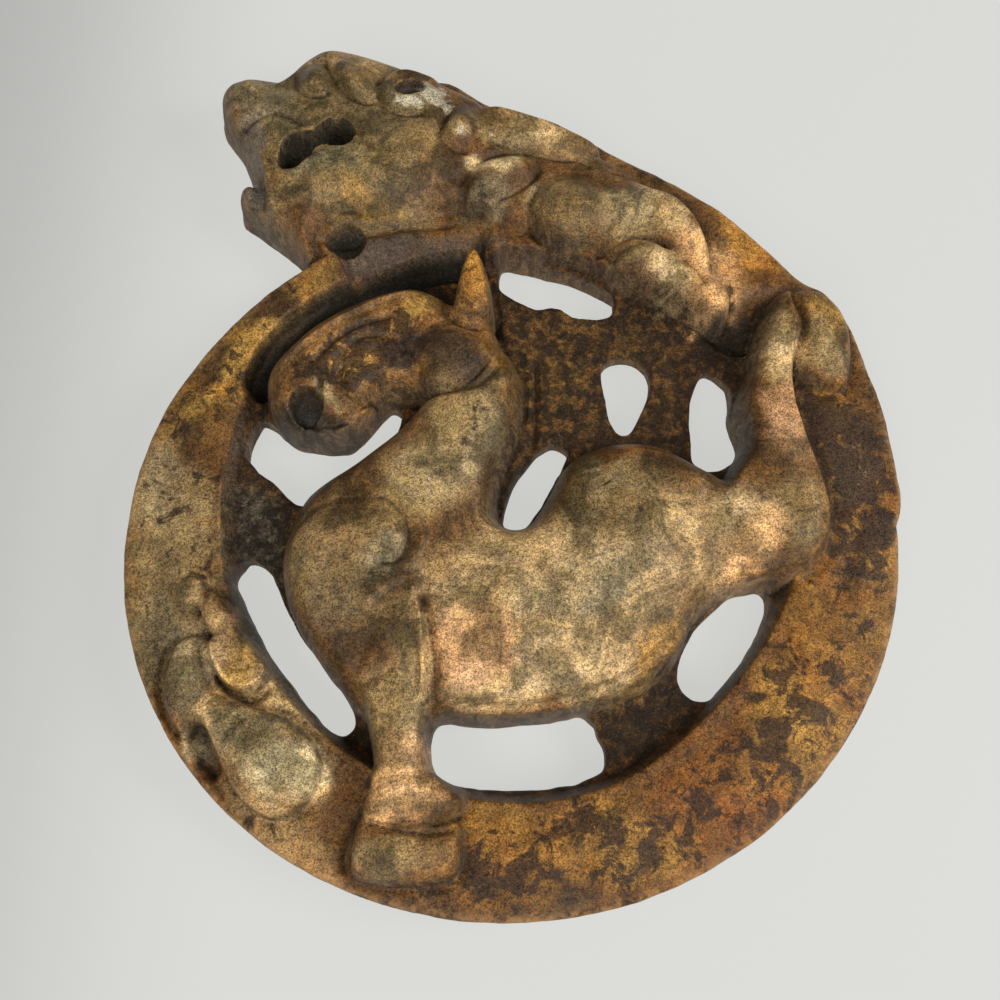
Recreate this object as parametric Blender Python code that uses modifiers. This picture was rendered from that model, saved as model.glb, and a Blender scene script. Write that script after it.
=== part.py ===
"""Openwork stone disc: an oval ring, a horse carved inside it and a beast whose head rises past the rim.

The disc lies on its back, which is the plane z = 0, and its carved face looks up. Everything on the face is
one height over the plan: figures are mounds that roll up from their own outlines, with grooves, swells and
pits along curves. The slab that has this face is trimmed to the outline and pierced by the eight openings.

Figures are drawn in plan units, so they are shares of the disc's size. Heights are real sizes.
"""
import math

import bmesh
import bpy
import numpy as np

# Driving sizes, in metres and degrees
DISC_LONG_RADIUS = 0.0760
DISC_SHORT_RADIUS = 0.0725
DISC_TURN = 12.0
RING_THICKNESS = 0.0115
RING_CAMBER = 0.0006
RIM_ROUND = 0.0016
WEB_THICKNESS = 0.0040
WEB_LEVEL = 0.39
FIGURE_FOOT = 0.3
PIT_FLOOR = 0.0025

# How far the figures stand over the ring's face
TORSO_RELIEF = 0.0075
NECK_RELIEF = 0.0045
HORSE_HEAD_RELIEF = 0.0045
LEG_RELIEF = 0.0055
HOOF_RELIEF = 0.0050
EAR_RELIEF = 0.0040
BEAST_HEAD_RELIEF = 0.0075
BEAST_BODY_RELIEF = 0.0060
LIMB_RELIEF = 0.0042

# How far in from its outline each figure rolls up to its full height, in plan units
TORSO_ROLL = 15.0
HEAD_ROLL = 8.0
HAUNCH_ROLL = 7.0
HIND_LEG_ROLL = 6.5
PAW_ROLL = 6.0
FORELEG_ROLL = 5.5
LIMB_ROLL = 5.0
HIND_HOOF_ROLL = 4.0
FORE_HOOF_ROLL = 3.5
EAR_ROLL = 3.0
BEAST_FLANK = 0.75

# Where one height passes into another along the plan: start and run, in plan units
NECK_BLEND = (5.0, 30.0)
BEAST_HEAD_BLEND = (5.0, 25.0)
BEAST_GROUND_BLEND = (-32.0, 22.0)
RING_MIDDLE = 65.0
RING_HALF_WIDTH = 10.0

# How steep the walls are, and how far apart, in plan units
FIELD_WALL = 2.4
GROUND_SLOPE = 1.5
WALL_DRAFT = 3.0
BACK_WALL = 2.0
BACK_RING_MARGIN = 1.0
BACK_FIGURE_MARGIN = 0.5
PIT_WALL = 0.45
BLEND = 1.2
LIMB_BLEND = 0.8

# Finish of the mesh
GRID_STEP = 0.0009
VOXEL = 0.0008
TRIANGLES = 9300
BED = 0.0006
CUT_MARGIN = 0.004

# The figures are drawn in plan on a disc whose long half axis is this many units
DRAWN_RADIUS = 76.0
PLAN = DISC_LONG_RADIUS / DRAWN_RADIUS

# Outlines in plan units, each a closed smooth curve through its points
CREST = ((-38, 46), (-44, 59), (-48.5, 65), (-57.5, 72.5), (-61.5, 76), (-58.5, 80), (-62.5, 92), (-68, 100.5),
         (-67, 105.5), (-60, 108), (-52.5, 108.5), (-48, 114), (-41, 117), (-33.5, 115.5), (-16, 110),
         (-4.5, 102), (10, 97.5), (21, 90), (33.5, 82), (45, 74.5), (56, 63.5), (62, 55.5), (68, 51.5),
         (71.5, 45), (74, 35), (76.5, 23), (77.5, 10), (76, 0), (66, -8), (0, 35))
FIELD = ((-38, 51), (-50.5, 37), (-56, 20), (-56.5, 2), (-53.5, -14), (-42, -33), (-27, -45), (-9, -51),
         (8, -51.5), (24.5, -45.5), (42, -30), (53, -13), (59, 4.5), (57, 27.5), (50, 43), (39, 47.5),
         (24, 56), (10.5, 62.5), (-3, 61), (-17.5, 59.5), (-30, 55.5))
OPENINGS = {
    "behind_ear": ((-2.5, 57), (-1.5, 63.5), (6, 62), (15.5, 58.5), (22, 54.5), (21.5, 49), (15.5, 48.5),
                   (10, 51), (5, 51), (0, 54)),
    "over_rump": ((19.5, 36), (22, 38.5), (27, 38), (29.5, 33), (27.5, 26), (24, 21), (21, 23), (20, 29)),
    "at_hock": ((39.5, 33), (42, 35.5), (46.5, 31), (46, 25), (47.5, 18), (42.5, 13), (37.5, 15), (37.5, 25)),
    "behind_neck": ((8, 18.5), (11.5, 17), (10.5, 13.5), (6, 5), (2, 0), (-1.5, 1.5), (-0.5, 8), (3.5, 14.5)),
    "under_muzzle": ((-55, 17.5), (-53.5, 23), (-50.5, 24), (-46, 20), (-41, 18.5), (-33.5, 19), (-29.5, 23.5),
                     (-25.5, 28), (-23, 25.5), (-25.5, 18), (-34, 11), (-42, 5.5), (-48.5, 10), (-52.5, 13)),
    "before_chest": ((-55, -9.5), (-52.5, -6.5), (-48, -8.5), (-42.5, -19), (-36.5, -27.5), (-29.5, -37),
                     (-32, -40.5), (-38, -36), (-46.5, -25.5), (-52.5, -15.5)),
    "under_belly": ((-13.5, -38), (-4, -38.5), (6, -38), (13, -36.5), (17, -41.5), (15.5, -47), (6, -50),
                    (-5, -50), (-13.5, -48), (-15.5, -43)),
    "behind_thigh": ((36.5, -19.5), (43, -13.5), (49.5, -12), (50.5, -16), (45.5, -25), (37, -34),
                     (32, -31.5), (32.5, -25.5)),
}
BEAST = ((-61.5, 76), (-58.5, 81), (-67, 100), (-66, 105), (-60, 108), (-53, 108.5), (-48, 114), (-41, 117),
         (-24.5, 112), (-12.5, 104.5), (4.5, 96), (18.5, 88.5), (32, 79.5), (39.5, 75), (43, 64), (46, 50),
         (43, 45), (36, 48.5), (26.5, 55.5), (13, 62.5), (0, 66.5), (-10, 71), (-28, 69), (-38, 71),
         (-43.5, 61), (-50, 66))
BEAST_HAUNCH = ((0, 73), (4, 80), (14, 80), (24, 74), (20, 66), (8, 65))
BEAST_PAW = ((22, 63), (28, 66), (37, 61), (43, 57), (46.5, 51), (43, 45.5), (36, 48.5), (27, 54), (22, 58))
HORSE_BODY = ((-10.5, 38), (-2.5, 40), (2.5, 32), (2, 21), (-2, 8), (-2, 1), (2, -0.5), (6, 4), (11, 13),
              (18, 16.5), (28, 17), (38, 12), (50, 5), (51, -6), (42, -14), (35, -20), (30, -29),
              (20, -35), (6, -38.5), (-10, -39), (-26, -39), (-36, -28), (-43, -17), (-45, -6),
              (-41, 6), (-31, 14), (-22, 22))
HORSE_HEAD = ((-12, 49), (-4, 45), (-2, 37), (-6, 28.5), (-14, 26.5), (-22.5, 28), (-27, 26.5), (-32.5, 19.5),
              (-42, 18), (-49, 23), (-51, 32), (-45, 41), (-34, 49), (-21, 53))
HORSE_EAR = ((-12.5, 45.5), (-11, 50), (-8.5, 57.5), (-5.5, 51.5), (-5, 46), (-8.5, 44.5))
FORELEG = ((-20, -13), (-27, -22), (-30, -31), (-27, -42), (-26, -54), (-24, -57), (-11, -57.5),
           (-10, -51.5), (-14, -46.5), (-15.5, -33), (-15.5, -21), (-17.5, -15))
FOREHOOF = ((-24, -56), (-15, -57.5), (-10.5, -60), (-11, -64.5), (-18, -66), (-27, -64.5), (-27.5, -61.5))
HIND_LEG = ((36, -2), (43, 8), (48, 18), (46.5, 28), (52, 42), (57, 51), (60.5, 48), (60, 38), (57, 28),
            (59, 18), (63, 4), (61, -6), (53, -12), (40, -14))
HINDHOOF = ((60.5, 48), (65, 51), (70, 45), (70.5, 36), (67, 29.5), (61.5, 32.5))
LIMB = ((-62, -24), (-56, -24), (-54.5, -31.5), (-46, -35), (-37.5, -40), (-34.5, -48), (-38.5, -54),
        (-47.5, -52.5), (-54, -43.5), (-59.5, -40.5), (-63.5, -34))
LIMB_CURL = ((-56, -24.5), (-51.5, -22.5), (-46, -28), (-50, -32.5), (-56, -28.5))
LIMB_KNOB = ((-64, -14.5), (-60.5, -11.5), (-52, -19), (-54, -23.5), (-63, -18))

# Lines cut into the figures or raised on them: points, half width and height in plan units
GROOVES = {
    "shoulder_scroll": (((-36, 0), (-31, 3.5), (-24, 2.5), (-19.5, -3), (-21, -9), (-25, -11.5)), 1.3, -1.3),
    "foreleg_crease": (((-29, -33), (-24, -31.5), (-18, -29)), 1.5, -0.7),
    "leg_front": (((-20.5, -16), (-15.5, -20), (-14.5, -30)), 1.6, -1.2),
    "pastern": (((-25.5, -54.5), (-18, -56.5), (-9.5, -56)), 1.4, -1.6),
    "horse_jaw": (((-34, 31), (-31, 27), (-24, 28.5), (-13, 26.5), (-6, 28), (-3.5, 34)), 1.2, -1.3),
    "horse_face": (((-44, 33.5), (-39.5, 38), (-33, 37), (-27, 40.5)), 1.4, -1.0),
    "beast_lip": (((-61, 92), (-54, 93.5), (-49, 91)), 1.2, -1.4),
    "beast_brow": (((-43, 110), (-40.5, 104), (-35, 98.5), (-28, 97)), 1.4, -1.5),
    "beast_cheek": (((-33, 90), (-30.5, 84.5), (-33.5, 79)), 1.2, -0.9),
    "beast_neck": (((-9, 90), (4, 84.5), (16.5, 80), (29, 73)), 1.6, -1.6),
    "beast_claw": (((22.5, 56.5), (25, 61.5), (33.5, 62)), 1.3, -1.3),
    "mane": (((5.5, 40), (6.5, 28), (4, 15)), 0.9, -0.6),
}
SWELLS = {
    "beast_eye": (((-43.5, 104), (-42.5, 104)), 4.0, 1.2),
    "beast_nose": (((-59.5, 102), (-58.5, 102)), 3.5, 1.0),
    "beast_ear": (((-23.5, 99.5), (-21.5, 99.5)), 5.5, 1.6),
    "beast_second_ear": (((-11, 95.5), (-9.5, 91)), 4.0, 1.5),
    "beast_neck_fold": (((-10, 77.5), (-4.5, 80), (2, 82.5)), 4.0, 1.2),
    "beast_jaw": (((-47, 74), (-30, 72), (-10, 75)), 3.0, 0.8),
    "horse_cheek": (((-10, 33.5), (-9, 33.5)), 8.0, 1.6),
    "horse_muzzle": (((-32.5, 22), (-31, 20)), 5.0, 1.2),
    "thigh": (((30, 0), (40, 0)), 13.0, 1.2),
    "hock": (((50, -6), (57, -1), (58, 7)), 5.0, 1.2),
    "chest": (((-34, -8), (-33, -16)), 9.0, 0.8),
    "shoulder": (((-29, -3), (-28, -3)), 6.0, 0.9),
    "foreleg": (((-22, -25), (-20.5, -42), (-20, -50)), 4.5, 0.8),
}
PITS = {
    "beast_mouth": (((-47.5, 83), (-43, 84.5), (-37.5, 86.5)), 3.4, -9.0),
    "beast_chin": (((-37.5, 65), (-35, 65)), 3.6, -7.0),
    "beast_ear_pit": (((-23.5, 101), (-21.5, 101.5)), 2.6, -2.4),
    "horse_nostril": (((-42, 25), (-40.5, 20.5)), 2.8, -4.0),
    "horse_chin": (((-26.5, 25), (-25.5, 22.5)), 2.0, -2.5),
    "limb": (((-57.5, -40), (-55, -45)), 1.9, -4.5),
    "limb_curl": (((-57, -26), (-56.5, -30), (-52, -33.5), (-46.5, -33)), 1.2, -2.0),
    "over_horse_head": (((-52, 33), (-47.5, 42), (-37, 52), (-24, 57.5), (-15, 58)), 2.4, -1.5),
}


def smooth_curve(points, closed, steps=7):
    """Points along the Catmull-Rom curve through the given ones."""
    ring = np.array(points, float)
    if closed:
        padded = np.vstack((ring[-1:], ring, ring[:2]))
    else:
        padded = np.vstack((2 * ring[0] - ring[1], ring, 2 * ring[-1] - ring[-2]))
    share = np.arange(steps)[:, None] / steps
    pieces = []
    for before, start, end, after in zip(padded[:-3], padded[1:-2], padded[2:-1], padded[3:]):
        pieces.append(0.5 * (2 * start + (end - before) * share
                             + (2 * before - 5 * start + 4 * end - after) * share ** 2
                             + (3 * start - before - 3 * end + after) * share ** 3))
    if not closed:
        pieces.append(padded[-2:-1])
    return np.vstack(pieces)


def distance_to(x, y, line, closed):
    """Distance from each plan point to a broken line."""
    starts = line if closed else line[:-1]
    ends = np.roll(line, -1, axis=0) if closed else line[1:]
    nearest = np.full(x.shape, np.inf)
    for (ax, ay), (bx, by) in zip(starts, ends):
        run_x, run_y = bx - ax, by - ay
        along = ((x - ax) * run_x + (y - ay) * run_y) / (run_x ** 2 + run_y ** 2)
        along = np.clip(along, 0.0, 1.0)
        nearest = np.minimum(nearest, (x - ax - along * run_x) ** 2 + (y - ay - along * run_y) ** 2)
    return np.sqrt(nearest)


def is_inside(x, y, loop):
    """Even-odd test of each plan point against a closed loop."""
    inside = np.zeros(x.shape, bool)
    for (ax, ay), (bx, by) in zip(loop, np.roll(loop, -1, axis=0)):
        if ay != by:
            crosses = (ay > y) != (by > y)
            inside ^= crosses & (x < ax + (y - ay) * (bx - ax) / (by - ay))
    return inside


def depth_in_loop(x, y, loop):
    """Distance inside a closed broken line, negative outside it."""
    distance = distance_to(x, y, loop, closed=True)
    return np.where(is_inside(x, y, loop), distance, -distance)


def depth_in(x, y, outline):
    """Distance inside a smooth closed outline, negative outside it."""
    return depth_in_loop(x, y, smooth_curve(outline, closed=True))


def soft_max(first, second, softness):
    """The larger of two heights, with the corner between them filled to a radius."""
    gap = np.clip(softness - np.abs(first - second), 0.0, None)
    return np.maximum(first, second) + gap ** 2 / (4 * softness)


def eased(share):
    """A share from 0 to 1 that leaves and arrives gently."""
    share = np.clip(share, 0.0, 1.0)
    return share * share * (3 - 2 * share)


def mound(x, y, outline, foot, crown, roll):
    """A form that starts at foot on its outline and rolls up to crown at a distance of roll inside it."""
    depth = depth_in(x, y, outline)
    rise = np.clip(depth / roll, 0.0, 1.0)
    rolled = foot + (crown - foot) * np.sqrt(1 - (1 - rise) ** 2)
    return np.where(depth > 0, rolled, foot + WALL_DRAFT * depth)


def ripple(x, y, points, half_width):
    """1 on a smooth line, falling to 0 at half_width from it."""
    distance = distance_to(x, y, smooth_curve(points, closed=False), closed=False)
    return np.where(distance < half_width, 0.5 + 0.5 * np.cos(np.pi * distance / half_width), 0.0)


def basin(x, y, points, half_width):
    """1 over a flat floor along a smooth line, with steep walls that end at half_width."""
    distance = distance_to(x, y, smooth_curve(points, closed=False), closed=False)
    return np.clip((half_width - distance) / (PIT_WALL * half_width), 0.0, 1.0)


def figures(x, y, base):
    """The base with every figure raised on it, in plan units."""
    unit = 1 / PLAN
    face = RING_THICKNESS * unit
    low = FIGURE_FOOT * RING_THICKNESS * unit

    def raised(ground, outline, relief, roll, foot=low, softness=BLEND):
        return soft_max(ground, mound(x, y, outline, foot, face + relief * unit, roll), softness)

    neck_share = np.clip((y - NECK_BLEND[0]) / NECK_BLEND[1], 0.0, 1.0)
    body_relief = TORSO_RELIEF * (1 - neck_share) + NECK_RELIEF * neck_share
    head_share = np.clip((-x - BEAST_HEAD_BLEND[0]) / BEAST_HEAD_BLEND[1], 0.0, 1.0)
    beast_relief = BEAST_BODY_RELIEF * (1 - head_share) + BEAST_HEAD_RELIEF * head_share
    height = raised(base, BEAST, beast_relief * BEAST_FLANK, HEAD_ROLL)
    height = raised(height, BEAST_HAUNCH, BEAST_BODY_RELIEF, HAUNCH_ROLL, foot=face)
    height = raised(height, BEAST_PAW, BEAST_BODY_RELIEF, PAW_ROLL, foot=face)
    height = raised(height, HORSE_BODY, body_relief, TORSO_ROLL)
    height = raised(height, HIND_LEG, LEG_RELIEF, HIND_LEG_ROLL)
    height = raised(height, HINDHOOF, HOOF_RELIEF, HIND_HOOF_ROLL, foot=face)
    height = raised(height, FORELEG, LEG_RELIEF, FORELEG_ROLL)
    height = raised(height, FOREHOOF, HOOF_RELIEF, FORE_HOOF_ROLL, foot=face)
    height = raised(height, HORSE_HEAD, HORSE_HEAD_RELIEF, HEAD_ROLL)
    height = raised(height, HORSE_EAR, EAR_RELIEF, EAR_ROLL)
    for outline in (LIMB, LIMB_CURL, LIMB_KNOB):
        height = raised(height, outline, LIMB_RELIEF, LIMB_ROLL, foot=face, softness=LIMB_BLEND)
    for points, half_width, amount in (*GROOVES.values(), *SWELLS.values()):
        height = height + amount * ripple(x, y, points, half_width)
    for points, half_width, amount in PITS.values():
        height = height + amount * basin(x, y, points, half_width)
    return height


def ring_outline(count=180):
    """The oval rim in plan units."""
    angle = np.linspace(0, 2 * np.pi, count, endpoint=False)
    long_way = DISC_LONG_RADIUS / PLAN * np.cos(angle)
    short_way = DISC_SHORT_RADIUS / PLAN * np.sin(angle)
    turn = math.radians(DISC_TURN)
    return np.column_stack((long_way * math.cos(turn) - short_way * math.sin(turn),
                            long_way * math.sin(turn) + short_way * math.cos(turn)))


def edge_depth(x, y):
    """Distance inside the whole outline: the oval ring joined to the crest."""
    return np.maximum(depth_in_loop(x, y, ring_outline()), depth_in(x, y, CREST))


def face_height(x, y):
    """Height of the carved face over the back, in metres, at plan points in plan units."""
    unit = 1 / PLAN
    sunk = eased(0.5 + depth_in(x, y, FIELD) / FIELD_WALL)
    web_top = (WEB_LEVEL * RING_THICKNESS + WEB_THICKNESS / 2) * unit
    off_middle = np.clip(np.abs(np.hypot(x, y) - RING_MIDDLE) / RING_HALF_WIDTH, 0.0, 1.0)
    ring_top = (RING_THICKNESS - RING_CAMBER * off_middle ** 2) * unit
    rim = depth_in_loop(x, y, ring_outline())
    foot = FIGURE_FOOT * RING_THICKNESS * unit
    head_ground = np.minimum(foot + GROUND_SLOPE * np.clip(depth_in(x, y, CREST), 0.0, None), ring_top)
    past_rim = head_ground + (ring_top - head_ground) * eased((x - BEAST_GROUND_BLEND[0]) / BEAST_GROUND_BLEND[1])
    ground = np.maximum(past_rim, np.where(rim > 0, ring_top, ring_top + WALL_DRAFT * rim))
    height = figures(x, y, ground + (web_top - ground) * sunk)
    rounding = RIM_ROUND * unit
    lean = np.clip(1 - edge_depth(x, y) / rounding, 0.0, 1.0)
    height = (height - rounding * (1 - np.sqrt(1 - lean ** 2))) * PLAN
    return np.maximum(height, back_height(x, y) + PIT_FLOOR)


def back_height(x, y):
    """Height of the plain back: flat, with the webs between the figures set in."""
    recess = WEB_LEVEL * RING_THICKNESS - WEB_THICKNESS / 2
    web = depth_in(x, y, FIELD) - BACK_RING_MARGIN
    for outline in (HORSE_BODY, HORSE_HEAD, HIND_LEG, FORELEG):
        web = np.minimum(web, -depth_in(x, y, outline) - BACK_FIGURE_MARGIN)
    return (recess + BED) * eased(web / BACK_WALL) - BED


def material(name, colour, roughness):
    """A plain stone material."""
    made = bpy.data.materials.new(name)
    made.use_nodes = True
    shader = made.node_tree.nodes["Principled BSDF"]
    shader.inputs["Base Color"].default_value = (*colour, 1.0)
    shader.inputs["Roughness"].default_value = roughness
    shader.inputs["Metallic"].default_value = 0.0
    return made


def collection(name):
    """A new collection in the scene."""
    made = bpy.data.collections.new(name)
    bpy.context.scene.collection.children.link(made)
    return made


def add_object(name, mesh, home):
    """An object for a mesh, in one collection."""
    made = bpy.data.objects.new(name, mesh)
    home.objects.link(made)
    return made


def carved_slab(name, home):
    """A slab over the outline's box, with the carved face on top and the back below."""
    loop = np.vstack((ring_outline(), smooth_curve(CREST, closed=True))) * PLAN
    low = loop.min(axis=0) - CUT_MARGIN
    high = loop.max(axis=0) + CUT_MARGIN
    columns, rows = (int(math.ceil(length / GRID_STEP)) for length in high - low)
    shape = bmesh.new()
    bmesh.ops.create_grid(shape, x_segments=columns, y_segments=rows, size=0.5)
    sheet = list(shape.faces)
    lower = bmesh.ops.extrude_face_region(shape, geom=sheet, use_keep_orig=True)
    lower_points = [item for item in lower["geom"] if isinstance(item, bmesh.types.BMVert)]
    below = set(lower_points)
    upper_points = [point for point in shape.verts if point not in below]
    for points, surface in ((upper_points, face_height), (lower_points, back_height)):
        plan = np.array([point.co[:2] for point in points])
        plan = (low + high) / 2 + plan * (high - low)
        heights = surface(plan[:, 0] / PLAN, plan[:, 1] / PLAN)
        for point, (x, y), z in zip(points, plan, heights):
            point.co = (x, y, z)
    bmesh.ops.recalc_face_normals(shape, faces=shape.faces)
    mesh = bpy.data.meshes.new(name)
    shape.to_mesh(mesh)
    shape.free()
    return add_object(name, mesh, home)


def prism(name, loop, home):
    """An upright cutter over a closed plan loop, longer than the disc is thick."""
    curve = bpy.data.curves.new(name, "CURVE")
    curve.dimensions = "2D"
    curve.fill_mode = "BOTH"
    curve.extrude = 2 * (RING_THICKNESS + BEAST_HEAD_RELIEF + TORSO_RELIEF)
    spline = curve.splines.new("POLY")
    spline.points.add(len(loop) - 1)
    for point, (x, y) in zip(spline.points, loop):
        point.co = (x * PLAN, y * PLAN, 0.0, 1.0)
    spline.use_cyclic_u = True
    drawn = add_object(name + "_outline", curve, home)
    bpy.context.view_layer.update()
    mesh = bpy.data.meshes.new_from_object(drawn.evaluated_get(bpy.context.evaluated_depsgraph_get()))
    bpy.data.objects.remove(drawn)
    shape = bmesh.new()
    shape.from_mesh(mesh)
    bmesh.ops.remove_doubles(shape, verts=shape.verts, dist=1e-6)
    bmesh.ops.recalc_face_normals(shape, faces=shape.faces)
    shape.to_mesh(mesh)
    shape.free()
    return as_cutter(add_object(name, mesh, home))


def as_cutter(made):
    """Marks an object as a guide that isn't part of the model."""
    made.hide_render = True
    made.display_type = "WIRE"
    return made


def cut(target, operation, cutter):
    """A Boolean of the target with one cutter."""
    change = target.modifiers.new(cutter.name, "BOOLEAN")
    change.operation = operation
    change.object = cutter


def frozen(target):
    """Replaces an object's mesh by its evaluated one and drops its modifiers."""
    bpy.context.view_layer.update()
    evaluated = target.evaluated_get(bpy.context.evaluated_depsgraph_get())
    mesh = bpy.data.meshes.new_from_object(evaluated)
    target.modifiers.clear()
    target.data = mesh
    return mesh


def bed_block(name, home):
    """A block under the back plane, which leaves the back flat."""
    size = 4 * DISC_LONG_RADIUS
    bpy.ops.mesh.primitive_cube_add(size=size, location=(0.0, 0.0, -size / 2))
    made = bpy.context.object
    made.name = name
    for owner in made.users_collection:
        owner.objects.unlink(made)
    home.objects.link(made)
    return as_cutter(made)


def carved_disc():
    """The whole carving as one solid, with its box's centre over the origin."""
    work = collection("openwork_disc")
    cutters = collection("cutters")
    disc = carved_slab("carved_disc", work)
    outline = prism("outline", ring_outline(), cutters)
    cut(outline, "UNION", prism("crest", smooth_curve(CREST, closed=True), cutters))
    cut(disc, "INTERSECT", outline)
    for name, points in OPENINGS.items():
        cut(disc, "DIFFERENCE", prism(name, smooth_curve(points, closed=True), cutters))
    skin = disc.modifiers.new("skin", "REMESH")
    skin.mode = "VOXEL"
    skin.voxel_size = VOXEL
    soften = disc.modifiers.new("soften", "SMOOTH")
    soften.factor = 0.5
    soften.iterations = 3
    fine = frozen(disc)
    fine.calc_loop_triangles()
    thin = disc.modifiers.new("thin", "DECIMATE")
    thin.ratio = TRIANGLES / len(fine.loop_triangles)
    cut(disc, "DIFFERENCE", bed_block("bed", cutters))
    mesh = frozen(disc)
    places = np.array([point.co for point in mesh.vertices])
    middle = (places.min(axis=0) + places.max(axis=0)) / 2
    for point in mesh.vertices:
        point.co.x -= middle[0]
        point.co.y -= middle[1]
    mesh.materials.clear()
    mesh.materials.append(material("brown_stone", (0.30, 0.22, 0.13), 0.45))
    mesh.shade_smooth()
    mesh.set_sharp_from_angle(angle=math.radians(50))
    return disc


def main():
    for old in list(bpy.data.objects):
        bpy.data.objects.remove(old)
    carved_disc()


main()
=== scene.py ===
"""An openwork stone disc: an oval ring round a horse, and a beast whose head rises past the rim.

The stone is one closed skin. Its carved face is a height over the plan, worked out on a grid: forms that
roll up from their outlines, with lines, swells and pits on them. Its plain back is a second height, and its
rims and openings are distances in the plan. The three together are one field in space, negative inside the
stone, and the skin is laid where the field is zero.

Plan places and heights are in millimetres from the middle of the ring and from the flat back.
"""
import math

import bpy
import numpy as np
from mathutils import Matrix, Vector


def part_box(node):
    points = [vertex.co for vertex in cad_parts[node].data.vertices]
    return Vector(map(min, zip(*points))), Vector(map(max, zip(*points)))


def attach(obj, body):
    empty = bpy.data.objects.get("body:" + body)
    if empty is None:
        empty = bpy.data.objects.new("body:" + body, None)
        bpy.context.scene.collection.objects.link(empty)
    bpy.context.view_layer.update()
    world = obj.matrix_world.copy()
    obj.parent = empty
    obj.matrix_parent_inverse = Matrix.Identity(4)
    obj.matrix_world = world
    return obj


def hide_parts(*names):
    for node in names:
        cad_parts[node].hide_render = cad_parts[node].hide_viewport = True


bl_info = {
    "name": "Openwork stone disc",
    "version": (1, 0, 0),
    "blender": (4, 5, 0),
    "location": "3D View > Sidebar > Stone disc",
    "description": "Carves an openwork disc with a horse and a beast, and finishes it as mottled stone",
    "category": "Add Mesh",
}

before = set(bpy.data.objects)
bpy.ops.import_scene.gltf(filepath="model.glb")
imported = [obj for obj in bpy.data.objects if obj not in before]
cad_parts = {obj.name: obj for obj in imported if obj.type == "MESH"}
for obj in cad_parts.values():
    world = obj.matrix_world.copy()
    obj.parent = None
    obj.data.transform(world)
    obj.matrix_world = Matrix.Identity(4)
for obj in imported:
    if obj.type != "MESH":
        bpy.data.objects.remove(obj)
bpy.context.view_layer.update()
NODE = "carved_disc"
NODE_LOW, NODE_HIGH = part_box(NODE)
SEED = 11

# The ring's middle line and half width, and how the ground falls away from the ring
RING_MIDDLE = 65.0
RING_HALF_WIDTH = 10.0
GROUND_SLOPE = 1.5
OUTSIDE_SLOPE = 3.0
# Where the low ground of the beast's head rises to the ring's face: from this x, over this width
HEAD_GROUND_END = (-32.0, 22.0)
# Unevenness of the stone: how wide its bumps are, and how high
BROAD_WAVES = (9.0, 0.16)
FINE_WAVES = (2.4, 0.05)
WEB_PITTING = (0.9, 0.10)
EDGE_WAVES = (3.0, 0.10)
EDGE_RIPPLES = (1.3, 0.05)
PATCH_DRIFT = ((7.0, 1.6), (2.5, 0.6))
# All of the carved face, down to its deepest hollow, is higher than this, in metres
LOWEST_FACE = 0.002
# A line this sharp has no crease
ROUND_LINE = 2.0

# Widths of the stone's clouds, veils, speckles and streaks, in metres
CLOUD_SIZE = 0.012
VEIL_SIZE = 0.010
SPECKLE_SIZE = 0.0024
STREAK_SIZE = 0.0022

# The floor's half width and its depth under the stone, and how its glow falls to the left: from this x, to
# that x, and down to this share
# The floor's glow is painted light from under the stone, and its fall to the left is painted shade
FLOOR_HALF = 3.0
FLOOR_DEPTH = 0.0001
FLOOR_FADE = (-0.05, -0.14, 0.62)
# Place and width of each soft light
KEY_LIGHT = ((0.85, -0.15, 0.65), 0.45)
FILL_LIGHT = ((-0.25, -0.80, 0.75), 0.60)

# Outlines in the plan, each a closed smooth curve through its points
CREST = ((-38, 46), (-44, 59), (-48.5, 65), (-57.5, 72.5), (-61.5, 76), (-58.5, 80), (-62.5, 92),
         (-68, 100.5), (-67, 105.5), (-60, 108), (-52.5, 108.5), (-48, 114), (-41, 117), (-33.5, 115.5),
         (-16, 110), (-4.5, 102), (10, 97.5), (21, 90), (33.5, 82), (45, 74.5), (56, 63.5), (62, 55.5),
         (68, 51.5), (71.5, 45), (74, 35), (76.5, 23), (77.5, 10), (76, 0), (66, -8), (0, 35))
FIELD = ((-38, 51), (-50.5, 37), (-56, 20), (-56.5, 2), (-53.5, -14), (-42, -33), (-27, -45), (-9, -51),
         (8, -51.5), (24.5, -45.5), (42, -30), (53, -13), (59, 4.5), (57, 27.5), (50, 43), (39, 47.5),
         (24, 56), (10.5, 62.5), (-3, 61), (-17.5, 59.5), (-30, 55.5))
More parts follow.
